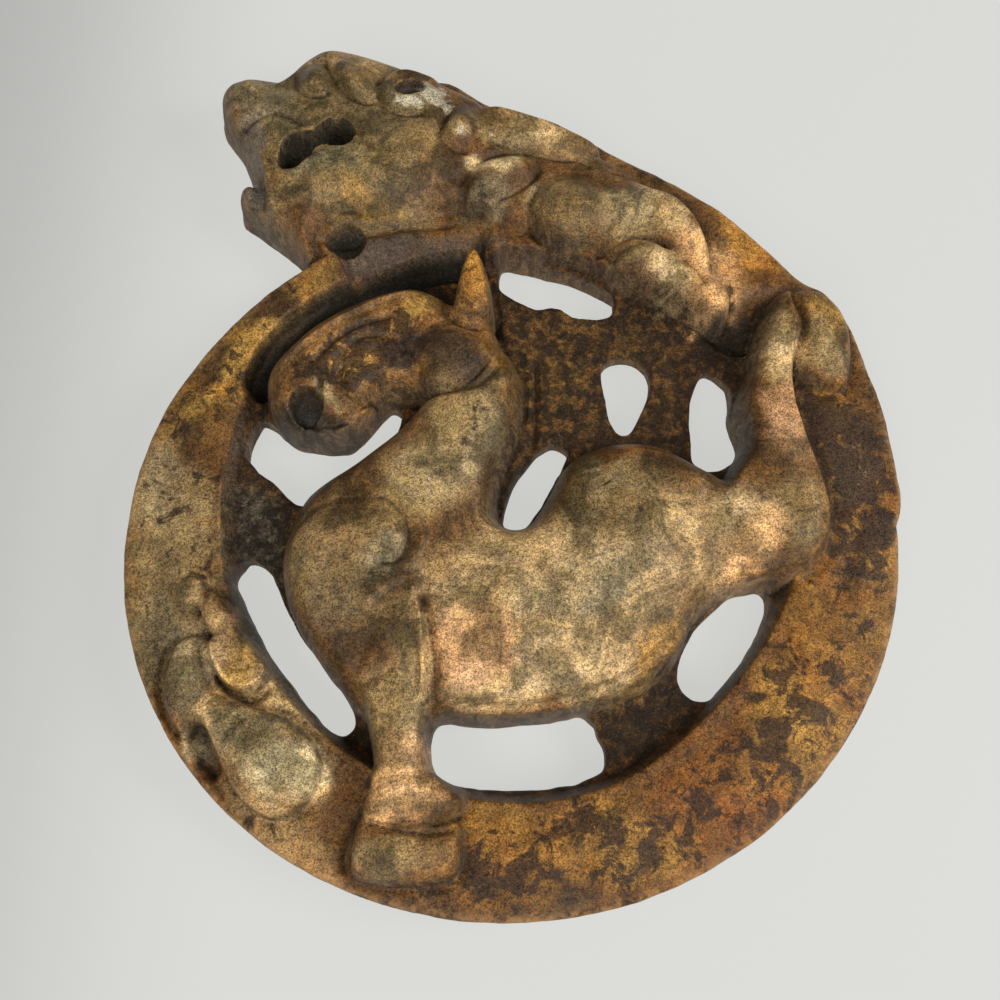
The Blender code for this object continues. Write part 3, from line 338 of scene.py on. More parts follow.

# Colours of the stone, as soft patches laid one over the other: place, half widths along and across, turn
# in degrees, colour and strength
# A few patches are painted shade and painted light, as their names and comments say
PATCHES = {
    "ring_right": ((66, -18), 42, 22, 75, "ochre_brown", 1.0),
    "ring_right_high": ((68, 12), 28, 13, 90, "ochre_brown", 0.7),
    "ring_right_gold": ((72, -7), 8, 4, 100, "ochre", 0.6),
    "ring_right_olive": ((68.5, 10.5), 9, 5, 60, "olive_tan", 0.6),
    "ring_right_low_gold": ((68, -21), 8, 5, 70, "ochre", 0.5),
    "ring_right_dark": ((61.5, 18.5), 6, 3.4, 110, "umber", 0.8),
    "ring_right_dark_top": ((74, 19), 6, 3, 100, "umber", 0.8),
    "ring_right_dark_mid": ((74.5, 1), 6, 3, 95, "umber", 0.8),
    "ring_right_dark_low": ((65, -12), 7, 3.4, 60, "umber", 0.7),
    "ring_right_gold_high": ((67, 20), 7, 4, 60, "ochre", 0.6),
    "ring_low_right": ((40, -52), 34, 17, 35, "rust", 1.0),
    "ring_low_right_gold": ((50, -42), 16, 9, 45, "ochre", 0.8),
    "ring_low": ((8, -62), 28, 11, 5, "ochre_brown", 1.0),
    "ring_low_gold": ((22, -60), 13, 7, 10, "ochre", 0.7),
    "ring_under_belly": ((-4, -55), 12, 4, 0, "ochre", 0.6),
    "ring_low_dark": ((9, -70.5), 10, 3, 5, "umber", 0.8),
    "ring_low_amber": ((4, -61.5), 8, 4, 10, "amber", 0.6),
    "ring_low_left": ((-42, -62), 18, 10, -40, "tan", 0.8),
    "ring_hoof_left": ((-36, -63), 11, 7, -25, "tan", 0.9),
    "ring_left": ((-66, -6), 34, 12, 95, "olive", 0.9),
    "ring_left_pale": ((-68, 8), 12, 6, 95, "grey_tan", 0.6),
    "ring_left_grey": ((-67, -26), 12, 6, 110, "grey_olive", 0.7),
    "ring_left_high": ((-62, 34), 28, 14, 70, "honey_brown", 1.0),
    "ring_streak": ((-53.5, 38.5), 27, 4.2, 56, "honey", 1.0),
    "ring_streak_dark": ((-49.5, 51), 10, 5, 48, "umber", 1.0),
    "ring_outer_dark": ((-61.5, 34.5), 11, 4.5, 60, "umber", 0.8),
    "ring_streak_dark_low": ((-63, 17), 7, 5, 80, "umber", 0.8),
    "ring_under_chin": ((-42, 57), 9, 5, 30, "honey", 0.6),
    "flange": ((54, 67), 19, 9, -45, "amber", 1.0),
    "flange_dark": ((38, 80), 13, 4, -35, "umber", 0.8),
    "flange_notch": ((45, 69), 6, 3, -45, "umber", 0.6),
    "flange_bright": ((57, 61.5), 6, 4, -45, "bright_amber", 0.7),
    "corner": ((68, 47), 8, 8, 0, "honey", 0.7),
    "beast": ((-38, 92), 34, 26, -20, "olive_brown", 1.0),
    "beast_snout": ((-54, 97), 12, 9, 0, "grey_olive", 0.6),
    "beast_top": ((-35, 110), 16, 7, -15, "tan", 0.7),
    "beast_cheek": ((-24, 84), 14, 9, 20, "olive_tan", 0.5),
    "beast_jaw": ((-38, 79), 13, 8, 0, "grey_olive", 0.9),
    "beast_low": ((-38, 72), 26, 7, 0, "olive_brown", 0.9),
    "beast_low_gold": ((-30, 73), 8, 3.4, 0, "honey", 0.6),
    # Painted shadow of the beast's head on the sloped ground below it
    "beast_slope_shadow": ((-22, 62), 24, 7.5, 3, "violet_brown", 1.0),
    "head_front": ((-57.5, 82), 20, 5.5, 112, "grey_brown", 0.9),
    "beast_ear": ((-21, 98), 7, 6, 0, "grey_tan", 0.8),
    "nape": ((8, 90), 22, 9, -28, "tan", 0.9),
    "nape_pale": ((4, 91), 12, 4, -25, "pale_tan", 0.6),
    "second_ear": ((-10, 90), 4, 5, 0, "pale_tan", 0.8),
    "throat": ((-2.5, 79.5), 9, 4.5, 25, "pale_cream", 0.85),
    "throat_low": ((-6, 72), 10, 4, 10, "grey_olive", 0.6),
    "beast_shoulder": ((12, 70), 12, 8, 0, "olive_brown", 0.9),
    "beast_leg": ((28, 70), 14, 8, -20, "olive_tan", 0.9),
    "leg_crest": ((38.5, 67), 7, 3.4, -55, "pale_tan", 0.8),
    "beast_leg_grey": ((27, 71), 8, 5, -20, "grey_tan", 0.6),
    "paw": ((31, 56), 13, 7, -30, "pale_tan", 1.0),
    "paw_pink": ((44, 59), 9, 9, 0, "peach", 0.9),
    "paw_tip": ((42, 48.5), 6.5, 5, 0, "peach", 1.0),
    "horse_ear": ((-8.3, 51), 6, 10, 0, "amber", 0.95),
    "web": ((14, 34), 28, 26, 0, "honey_brown", 0.45),
    "web_low": ((24, -38), 16, 6, 40, "umber", 0.9),
    "web_gold": ((9, 33), 8, 9, 0, "honey_brown", 0.6),
    "neck": ((-14, 14), 24, 13, 55, "olive_tan", 1.0),
    "neck_grey": ((-5, 16), 18, 5, 75, "grey_tan", 0.4),
    "horse_head": ((-25, 35.5), 32, 16, 14, "golden_brown", 1.0),
    "horse_head_gold": ((-20.5, 45.2), 9, 4, 30, "honey", 0.9),
    "horse_nose_gold": ((-36.8, 26.5), 6, 3, -50, "cream", 0.8),
    "mouth_rust": ((-36.2, 21.5), 5, 2.4, 75, "rust", 1.0),
    "horse_brow_gold": ((-31.3, 34), 8, 4.5, 30, "honey", 0.9),
    "horse_jaw_rust": ((-16, 37), 8, 4, 10, "rust", 0.6),
    "horse_jaw_dark": ((-10.5, 32.5), 10, 8, 0, "black_brown", 0.85),
    "muzzle_dark": ((-38, 18), 17, 6.5, 5, "black_brown", 0.9),
    "cheek_dark": ((-20, 34), 6, 5, 0, "black_brown", 0.8),
    "left_web": ((-50, -2), 17, 9, 95, "grey_brown", 1.0),
    "before_chest_strip": ((-46, -26), 24, 3, -52, "black_green", 0.9),
    "chest": ((-33, -10), 20, 15, 75, "olive_brown", 1.0),
    "chest_pink": ((-34, -4), 9, 6, 0, "pink_tan", 0.15),
    "spiral_pale": ((-24, -6), 6, 7, 0, "grey_tan", 0.55),
    "chest_dark": ((-33, -19), 14, 8, 60, "violet_brown", 0.45),
    "torso": ((9, -15), 33, 22, 5, "pale_tan", 0.9),
    "torso_pink": ((-8, -24), 12, 9, 0, "pink_tan", 0.85),
    "torso_grey": ((20, 3), 20, 12, -20, "olive_brown", 0.95),
    "torso_pale": ((12, -14), 16, 9, 20, "grey_tan", 0.75),
    # The belly's lower roll painted paler as light
    "belly_painted_light": ((6, -31), 24, 6, 5, "pale_tan", 0.85),
    "torso_rim": ((20, 14), 18, 4.5, 0, "rust", 0.95),
    "belly_gold": ((26, -27), 14, 3, 40, "ochre", 0.7),
    "rump": ((38, -2), 17, 12, 0, "pale_tan", 0.85),
    "thigh_pink": ((44, -6), 10, 9, 60, "peach", 0.95),
    "hock": ((56, 0), 8, 12, 0, "olive_tan", 0.8),
    "shank": ((54, 20), 7, 14, -10, "pink_tan", 0.6),
    "hind_pastern": ((54.5, 38), 7, 11, 0, "pale_tan", 1.0),
    "hind_hoof": ((65, 38), 6, 11, 0, "olive_tan", 0.85),
    "hoof_foot": ((66, 27), 6, 4, 0, "amber", 0.7),
    # Painted shade in the recess between the paw and the hind hoof
    "paw_recess_shade": ((48.6, 44), 10, 6, 50, "black_brown", 0.95),
    "foreleg_top": ((-22, -24), 8, 10, 0, "olive_brown", 0.7),
    "foreleg": ((-21, -38), 8, 14, 0, "olive_tan", 1.0),
    "foreleg_pink": ((-19, -50), 9, 8, 0, "peach", 0.85),
    # Painted highlight along the foreleg's right edge
    "foreleg_edge_highlight": ((-17, -24), 3, 12, 0, "pale_tan", 0.7),
    "fore_hoof": ((-19, -62), 11, 5, 0, "olive_tan", 0.9),
    "fore_hoof_dark": ((-22, -62), 3, 4, 0, "umber", 0.5),
    "limb": ((-50, -36), 20, 12, -55, "pale_tan", 0.9),
    "limb_green": ((-48, -40), 9, 7, -40, "grey_olive", 0.8),
    "limb_bulb": ((-40, -49), 8, 7, 0, "pale_cream", 0.9),
    "limb_knob": ((-60, -15), 6, 4, 0, "olive_tan", 0.7),
    "limb_curl": ((-51, -28), 7, 6, 0, "honey", 0.8),
    "limb_stem": ((-61, -32), 4, 9, 0, "grey_tan", 0.7),
    "limb_pit": ((-56.4, -43.5), 5, 3.4, -60, "grey_tan", 0.9),
}
COLOURS = {
    "brown": (0.118, 0.058, 0.018),
    "umber": (0.046, 0.025, 0.010),
    "rust": (0.190, 0.078, 0.017),
    "ochre": (0.330, 0.185, 0.045),
    "ochre_brown": (0.205, 0.100, 0.023),
    "honey_brown": (0.190, 0.105, 0.026),
    "honey": (0.370, 0.222, 0.062),
    "amber": (0.430, 0.215, 0.046),
    "olive": (0.240, 0.172, 0.085),
    "olive_brown": (0.165, 0.115, 0.052),
    "olive_tan": (0.240, 0.170, 0.080),
    "grey_olive": (0.150, 0.125, 0.072),
    "grey_tan": (0.330, 0.265, 0.165),
    "tan": (0.340, 0.225, 0.105),
    "pale_tan": (0.470, 0.330, 0.170),
    "pink_tan": (0.450, 0.260, 0.135),
    "peach": (0.580, 0.350, 0.170),
    "cream": (0.540, 0.420, 0.240),
    "violet_brown": (0.078, 0.055, 0.039),
    "bright_amber": (0.540, 0.270, 0.060),
    "golden_brown": (0.245, 0.128, 0.042),
    "black_brown": (0.040, 0.028, 0.019),
    "pale_cream": (0.700, 0.560, 0.340),
    "grey_brown": (0.115, 0.098, 0.078),
    "black_green": (0.022, 0.020, 0.014),
}
# What the clouds, veils, dirt, wear, painted shade and painted highlights multiply or cover the stone's
# colour with
TINTS = {
    "dark_cloud": (0.74, 0.72, 0.70, 1),
    "light_cloud": (1.26, 1.25, 1.20, 1),
    "olive_veil": (0.50, 0.53, 0.47, 1),
    "pale_veil": (1.40, 1.50, 1.90, 1),
    "rusty_veil": (1.04, 0.80, 0.55, 1),
    "dark_speckle": (0.72, 0.72, 0.74, 1),
    "light_speckle": (1.22, 1.21, 1.16, 1),
    # Painted shade mixed with dirt, for the sunk webs and recesses
    "deep_shade_and_dirt": (0.016, 0.010, 0.005, 1),
    "clean_web": (1.05, 1.0, 0.95, 1),
    # Painted shade on the walls, dark and grey
    "wall_shade": (0.026, 0.020, 0.015, 1),
    "grey_wall": (0.145, 0.118, 0.092, 1),
    # Painted shade in the carved pits and hollows
    "cavity": (0.019, 0.017, 0.013, 1),
    # Painted highlight on the ridges
    "ridge_highlight": (2.1, 1.95, 1.7, 1),
    "dark_grain": (0.40, 0.38, 0.35, 1),
    "light_grain": (1.92, 1.80, 1.52, 1),
}
# Where dark mottles crowd (above 0) or stay away (below 0): place, half widths, turn and amount
MOTTLES = {
    "ring_right": ((68, 6), 36, 13, 90, 0.8),
    "ring_low_right": ((46, -46), 38, 14, 40, 0.5),
    "ring_low": ((4, -63), 34, 9, 5, 0.7),
    "horse_ear": ((-8, 51), 6, 10, 0, 0.8),
    "ring_left_high": ((-60, 34), 26, 11, 65, 0.4),
    "ring_left": ((-66, -10), 28, 9, 95, 0.1),
    "ring_streak": ((-57, 41), 20, 4, 52, -0.8),
    "horse_head": ((-28, 36), 27, 14, 20, 1.25),
    "neck_edge": ((-6, 20), 14, 6, 70, 0.7),
    "beast": ((-40, 92), 26, 18, -20, 0.2),
    "torso": ((0, -18), 34, 18, 5, -0.5),
    "torso_grey": ((22, 2), 16, 12, -20, 0.4),
    "foreleg": ((-19, -46), 8, 12, 0, -0.8),
    "thigh": ((48, -8), 12, 8, 0, -0.5),
    "paw": ((33, 57), 13, 8, -30, -0.6),
    "limb": ((-44, -44), 12, 10, 0, -0.4),
    "beside_hoof": ((63, 22), 10, 6, -40, 0.9),
    "flange": ((56, 62), 10, 8, -45, -0.3),
}
# Pale chips: place, half widths along and across, and turn
CHIPS = {
    "ear_front": ((-22, 95.3), 4.2, 1.6, -15),
    "ear_back": ((-16.5, 98.5), 5.5, 3.4, -50),
    "second_ear": ((-10.5, 88), 1.4, 1.2, 0),
}


def smooth_curve(points, closed, steps=8):
    """Points along a smooth curve through the given ones: cubics that share each point and its slope."""
    ring = np.array(points, float)
    if closed:
        padded = np.vstack((ring[-1:], ring, ring[:2]))
    else:
        padded = np.vstack((2 * ring[0] - ring[1], ring, 2 * ring[-1] - ring[-2]))
    share = np.arange(steps)[:, None] / steps
    pieces = []
    for before, start, end, after in zip(padded[:-3], padded[1:-2], padded[2:-1], padded[3:]):
        pieces.append(0.5 * (2 * start + (end - before) * share
                             + (2 * before - 5 * start + 4 * end - after) * share ** 2
                             + (3 * start - before - 3 * end + after) * share ** 3))
    if not closed:
        pieces.append(padded[-2:-1])
    return np.vstack(pieces)


def nearest_on(x, y, line, closed):
    """Distance from each plan point to a broken line, and how far along the line its nearest point lies, as
    a share."""
    starts = line if closed else line[:-1]
    ends = np.roll(line, -1, axis=0) if closed else line[1:]
    nearest = np.full(x.shape, np.inf)
    share = np.zeros(x.shape)
    for place, ((ax, ay), (bx, by)) in enumerate(zip(starts, ends)):
        run_x, run_y = bx - ax, by - ay
        along = ((x - ax) * run_x + (y - ay) * run_y) / (run_x ** 2 + run_y ** 2)
        along = np.clip(along, 0.0, 1.0)
        square = (x - ax - along * run_x) ** 2 + (y - ay - along * run_y) ** 2
        closer = square < nearest
        nearest = np.where(closer, square, nearest)
        share = np.where(closer, (place + along) / len(starts), share)
    return np.sqrt(nearest), share


def is_inside(x, y, loop):
    """Even-odd test of each plan point against a closed loop."""
    inside = np.zeros(x.shape, bool)
    for (ax, ay), (bx, by) in zip(loop, np.roll(loop, -1, axis=0)):
        if ay != by:
            crosses = (ay > y) != (by > y)
            inside ^= crosses & (x < ax + (y - ay) * (bx - ax) / (by - ay))
    return inside


def depth_in(x, y, loop):
    """Distance inside a closed broken line, negative outside it."""
    distance = nearest_on(x, y, loop, closed=True)[0]
    return np.where(is_inside(x, y, loop), distance, -distance)


def eased(share):
    """A share from 0 to 1 that leaves and arrives gently."""
    share = np.clip(share, 0.0, 1.0)
    return share * share * (3 - 2 * share)


def soft_max(first, second, softness):
    """The larger of two heights, with the corner between them filled to a radius."""
    gap = np.clip(softness - np.abs(first - second), 0.0, None)
    return np.maximum(first, second) + gap ** 2 / (4 * softness)


def blurred(field, radius):
    """A field smoothed along both ways of its grid with a bell curve, whose radius is in grid steps."""
    for axis in (0, 1):
        places = np.arange(field.shape[axis])
        bell = np.exp(-0.5 * ((places[:, None] - places[None, :]) / radius) ** 2)
        bell = bell / bell.sum(axis=1, keepdims=True)
        field = bell @ field if axis == 0 else field @ bell.T
    return field


def ellipse(x, y, place, along, across, turn):
    """1 at the middle of a turned ellipse, falling gently to 0 on its edge."""
    angle = math.radians(turn)
    run_x, run_y = x - place[0], y - place[1]
    u = (run_x * math.cos(angle) + run_y * math.sin(angle)) / along
    v = (run_y * math.cos(angle) - run_x * math.sin(angle)) / across
    return eased(1 - np.hypot(u, v))


def ring_outline(sizes, count=200):
    """The oval rim: an ellipse turned in its plane."""
    angle = np.linspace(0, 2 * np.pi, count, endpoint=False)
    turn = sizes.disc_turn
    long_way = sizes.long_radius * 1000 * np.cos(angle)
    short_way = sizes.short_radius * 1000 * np.sin(angle)
    return np.column_stack((long_way * math.cos(turn) - short_way * math.sin(turn),
                            long_way * math.sin(turn) + short_way * math.cos(turn)))


class Plan:
    """A square grid over the plan, in millimetres."""

    def __init__(self, low, high, step):
        self.step = step
        self.across = np.arange(low[0], high[0], step)
        self.along = np.arange(low[1], high[1], step)
        self.x, self.y = np.meshgrid(self.across, self.along, indexing="ij")
        self.random = np.random.default_rng(SEED)

    def window(self, points, margin):
        """The part of the grid around some points."""
        low = np.min(points, axis=0) - margin
        high = np.max(points, axis=0) + margin
        return (slice(*np.searchsorted(self.across, (low[0], high[0]))),
                slice(*np.searchsorted(self.along, (low[1], high[1]))))

    def noise(self, grain):
        """A random field with bumps about as wide as the grain, and a spread of 1."""
        field = blurred(self.random.standard_normal(self.x.shape), grain / self.step / 2)
        return field / field.std()

    def waves(self, width, height):
        """Random bumps of a width and a height."""
        return height * self.noise(width)

    def depth(self, points, far):
        """Distance inside a smooth closed outline, down to -far outside it."""
        loop = smooth_curve(points, closed=True)
        part = self.window(loop, far)
        depth = np.full(self.x.shape, -float(far))
        depth[part] = np.maximum(depth_in(self.x[part], self.y[part], loop), -far)
        return depth

    def sample(self, field, x, y):
        """A field read at any plan points, straight between its four nearest grid points."""
        column = np.clip((x - self.across[0]) / self.step, 0, len(self.across) - 1.001)
        row = np.clip((y - self.along[0]) / self.step, 0, len(self.along) - 1.001)
        i, j = column.astype(int), row.astype(int)
        u, v = column - i, row - j
        return ((field[i, j] * (1 - u) + field[i + 1, j] * u) * (1 - v)
                + (field[i, j + 1] * (1 - u) + field[i + 1, j + 1] * u) * v)


def raise_form(plan, height, outline, foot, edge, roll, swell, span, softness=1.0, moat=0.0):
    """Raises a form on a height. From its outline it rolls up as a quarter circle, from foot to edge at a
    distance of roll. On that a dome as high as swell rises to its top at a distance of span. The corner
    with the ground is filled to softness, and the ground just outside is cut down by moat."""
    loop = smooth_curve(outline, closed=True)
    part = plan.window(loop, 4.0)
    depth = depth_in(plan.x[part], plan.y[part], loop)
    rolled = foot + (edge - foot) * np.sqrt(1 - (1 - np.clip(depth / roll, 0.0, 1.0)) ** 2)
    dome = swell * (1 - (1 - np.clip(depth / span, 0.0, 1.0)) ** 2)
    form = np.where(depth > 0, rolled, foot + 4.0 * depth) + blurred(dome, 1.6 / plan.step)
    ground = height[part] - moat * np.exp(-((depth + 0.7) / 0.8) ** 2)
    height[part] = soft_max(ground, form, softness)


def carve_line(plan, height, points, half_width, amount, sharpness):
    """Cuts or raises a line: full height on it, gone at half_width, and tapered to its ends. A sharpness of
    1 gives straight sides, more lets them run out softly, and 2 gives a round line."""
    line = smooth_curve(points, closed=False, steps=6)
    part = plan.window(line, half_width + 1)
    distance, share = nearest_on(plan.x[part], plan.y[part], line, closed=False)
    across = np.clip(1 - distance / half_width, 0.0, 1.0)
    profile = eased(across) if sharpness >= ROUND_LINE else across ** sharpness
    taper = np.clip(12 * share * (1 - share), 0.0, 1.0)
    height[part] += amount * profile * taper


def carve_pit(plan, height, points, half_width, amount):
    """Sinks a blind groove: flat-floored along its middle line, with steep rounded walls."""
    line = smooth_curve(points, closed=False, steps=6)
    part = plan.window(line, half_width + 2)
    distance = nearest_on(plan.x[part], plan.y[part], line, closed=False)[0]
    height[part] += amount * eased((half_width + 0.6 - distance) / 1.9)


def carve_hollow(plan, height, outline, amount, wall):
    """Sinks a rounded hollow: from its outline it falls as a quarter circle, to its floor at a distance of
    wall."""
    loop = smooth_curve(outline, closed=True)
    part = plan.window(loop, 2.0)
    depth = depth_in(plan.x[part], plan.y[part], loop)
    height[part] += amount * np.sqrt(1 - (1 - np.clip((depth + 0.3) / wall, 0.0, 1.0)) ** 2)


def cut_slope(plan, height, line, outline, level, fall):
    """Lowers what stands inside an outline to a slope that falls from a line, and lets go of it outside."""
    part = plan.window(outline, 2.0)
    x, y = plan.x[part], plan.y[part]
    below = nearest_on(x, y, smooth_curve(line, closed=False), closed=False)[0]
    shown = eased((depth_in(x, y, smooth_curve(outline, closed=True)) + 1.0) / 2.0)
    slope = level - fall * below * shown + 8.0 * (1 - shown)
    height[part] = -soft_max(-height[part], -slope, 0.8)


def ring_and_field(plan, sizes, crest, rim, sunk):
    """The ground that the figures stand on: the ring's slightly crowned face, the lower ground that slopes
    out to the beast's head past the rim, and the webs inside, sunk below the ring."""
    ring_face = sizes.ring_thickness * 1000
    web_top = (sizes.web_level * sizes.ring_thickness + sizes.web_thickness / 2) * 1000
    off_middle = np.clip(np.abs(np.hypot(plan.x, plan.y) - RING_MIDDLE) / RING_HALF_WIDTH, 0.0, 1.0)
    ring_top = ring_face - sizes.ring_camber * 1000 * off_middle ** 2
    foot = sizes.figure_foot * ring_face
    head_ground = np.minimum(foot + GROUND_SLOPE * np.clip(crest, 0.0, None), ring_top)
    end, width = HEAD_GROUND_END
    past_rim = head_ground + (ring_top - head_ground) * eased((plan.x - end) / width)
    ground = np.maximum(past_rim, np.where(rim > 0, ring_top, ring_top + OUTSIDE_SLOPE * rim))
    return ground + (web_top - ground) * sunk


def figure_heights(plan, sizes, height):
    """Slopes the ground under the beast's jaw and paw, raises every figure on it, and then adds the bumps,
    lines, grooves and hollows. Each form has its foot, edge, roll, swell and span, and may have its own
    softness and moat."""
    face = sizes.ring_thickness * 1000
    low = sizes.figure_foot * face
    torso = sizes.torso_relief * 1000
    head = sizes.horse_head_relief * 1000
    beast = sizes.beast_relief * 1000
    leg = sizes.leg_relief * 1000
    limb = sizes.limb_relief * 1000

    def form(outline, *heights):
        raise_form(plan, height, outline, *heights)

    cut_slope(plan, height, *SLOPES["under_jaw"])
    cut_slope(plan, height, *SLOPES["paw_valley"])
    form(BEAST, low, face + 0.40 * beast, 5.5, 0.18 * beast, 9.0)
    form(BEAST_FACE, face - 1.0, face + 0.55 * beast, 3.6, 0.42 * beast, 16.0, 1.4)
    cut_slope(plan, height, *SLOPES["head_front"])
    form(JAW_LOBE, 3.0, 10.5, 2.4, 1.0, 3.5, 0.6, 0.6)
    form(NAPE, face + 0.2 * beast, face + 0.62 * beast, 1.8, 0.12 * beast, 4.0, 1.0, 0.2)
    form(BEAST_THROAT, face + 0.3, face + 0.62 * beast, 2.2, 0.16 * beast, 4.0, 0.6, 0.4)
    form(BEAST_SHOULDER, face + 0.3, face + 0.58 * beast, 2.8, 0.26 * beast, 8.0, 0.8, 0.5)
    form(BEAST_LEG, face + 0.2, face + 0.56 * beast, 2.6, 0.22 * beast, 7.0, 0.8, 0.3)
    form(BEAST_PAW, face - 1.0, face + 0.50 * beast, 2.6, 0.20 * beast, 6.0, 0.8, 0.4)
    form(HORSE_BODY, low, face + 0.50 * torso, 5.5, 0.36 * torso, 24.0, 1.2)
    form(RUMP, face - 2.0, face + 0.60 * torso, 5.5, 0.28 * torso, 15.0, 2.0)
    form(CHEST, low, face + 0.56 * torso, 5.0, 0.25 * torso, 12.0, 1.5)
    form(HIND_LEG, low, face + 0.72 * leg, 3.0, 0.34 * leg, 8.0, 1.2, 0.4)
    form(HINDHOOF, face - 0.5, face + 0.68 * leg, 2.0, 0.22 * leg, 6.0, 0.8, 0.4)
    form(FORELEG, low, face + 0.90 * leg, 3.0, 0.24 * leg, 7.0, 0.8)
    form(FETLOCK, face - 0.3, face + 0.84 * leg, 2.0, 0.22 * leg, 5.0, 0.8, 0.3)
    form(FOREHOOF, face - 0.5, face + 0.66 * leg, 1.7, 0.20 * leg, 5.0, 0.8, 0.3)
    form(HORSE_HEAD, low, face + 0.68 * head, 4.2, 0.45 * head, 11.0, 1.0, 0.6)
    form(HORSE_CHIN, low, face + 0.35 * head, 3.0, 0.20 * head, 5.0, 0.8)
    form(HORSE_JAW, face - 1.0, face + 1.10 * head, 2.4, 0.30 * head, 6.5, 0.6, 0.5)
    form(HORSE_EAR, low, face + 1.30 * head, 2.2, 0.20 * head, 3.5, 0.5, 0.6)
    form(LIMB, face - 0.3, face + 0.52 * limb, 1.9, 0.28 * limb, 7.0, 0.6, 0.5)
    form(LIMB_NECK, face - 0.3, face + 0.46 * limb, 1.7, 0.16 * limb, 3.5, 0.6, 0.3)
    form(LIMB_KNOB, face - 0.3, face + 0.46 * limb, 1.4, 0.14 * limb, 3.0, 0.4, 0.3)
    form(LIMB_CURL, face - 0.3, face + 0.66 * limb, 1.8, 0.14 * limb, 4.5, 0.4, 0.5)
    for place, along, across, turn, amount in BUMPS.values():
        part = plan.window((place,), max(along, across) * 1.6)
        height[part] += amount * ellipse(plan.x[part], plan.y[part], place, along * 1.5, across * 1.5, turn)
    for points, half_width, amount, sharpness in LINES.values():
        carve_line(plan, height, points, half_width, amount, sharpness)
    before = height.copy()
    for points, half_width, amount in PITS.values():
        carve_pit(plan, height, points, half_width, amount)
    for outline, amount, wall in HOLLOWS.values():
        carve_hollow(plan, height, outline, amount, wall)
    # How deep the pits and hollows are carved, which sets their painted shade
    plan.cavity = np.clip((before - height - 0.6) / 2.4, 0.0, 1.0)


def back_heights(plan, sizes, field):
    """The plain back: flat where it lies, with the webs between the figures set in by soft steps."""
    recess = (sizes.web_level * sizes.ring_thickness - sizes.web_thickness / 2) * 1000
    web = field - 1.0
    for outline in (HORSE_BODY, HORSE_HEAD, HIND_LEG, FORELEG):
        web = np.minimum(web, -plan.depth(outline, 6) - 0.5)
    return recess * eased(web / 2.5)


def stone_plan(sizes):
    """The carved face, the back, the distance inside the whole outline, and the masks that colour them."""
    rim_loop = ring_outline(sizes)
    crest_loop = smooth_curve(CREST, closed=True)
    corners = np.vstack((rim_loop, crest_loop))
    low = corners.min(axis=0)
    high = corners.max(axis=0)
    plan = Plan(low - 2.5, high + 2.5, sizes.grid_step * 1000)
    plan.middle = (low + high) / 2
    plan.scale = (NODE_HIGH.x - NODE_LOW.x) / (high[0] - low[0])
    rim = depth_in(plan.x, plan.y, rim_loop)
    crest = depth_in(plan.x, plan.y, crest_loop)
    field = plan.depth(FIELD, 6)
    sunk = eased(0.5 + field / 2.2)
    broad = plan.waves(*BROAD_WAVES)
    fine = plan.waves(*FINE_WAVES)
    pitted = plan.waves(*WEB_PITTING)
    height = ring_and_field(plan, sizes, crest, rim, sunk)
    ground = height.copy()
    figure_heights(plan, sizes, height)
    figure_share = eased((height - ground) / 2.0)
    web_share = sunk * (1 - figure_share)
    height += broad + fine + pitted * web_share
    side = np.maximum(rim, crest)
    wavy = plan.waves(*EDGE_WAVES) + plan.waves(*EDGE_RIPPLES)
    edge = side + 0.5 * wavy
    for outline in OPENINGS.values():
        edge = np.minimum(edge, -plan.depth(outline, 8) + wavy)
    back = back_heights(plan, sizes, field)
    height = np.maximum(height, back + sizes.pit_floor * 1000)
    plan.height = height
    plan.back = back
    plan.side = side
    plan.edge = edge
    plan.web = web_share
    plan.figure = figure_share
    return plan


def stone_field(plan, sizes):
    """The stone as one field in space. It is the greatest of three distances: over the face, under the back
    and outside the outline. Where two of them meet, the corner is a quarter circle of the worn radius."""
    step = plan.step
    levels = np.arange(-1.5 * step, plan.height.max() + 2 * step, step, dtype=np.float32)
    rise_x, rise_y = np.gradient(plan.height, step)
    face_slope = np.sqrt(1 + rise_x ** 2 + rise_y ** 2)[:, :, None].astype(np.float32)
    over = (levels - plan.height[:, :, None].astype(np.float32)) / face_slope
    under = plan.back[:, :, None].astype(np.float32) - levels
    beside = -plan.edge[:, :, None].astype(np.float32)

    def rounded(first, second, radius):
        outside = np.hypot(np.maximum(first + radius, 0), np.maximum(second + radius, 0)) - radius
        return np.maximum(outside, np.minimum(np.maximum(first, second), -radius))

    worn = np.float32(sizes.rim_wear * 1000)
    field = rounded(over, beside, worn)
    return rounded(field, under, np.float32(sizes.back_wear * 1000)), levels


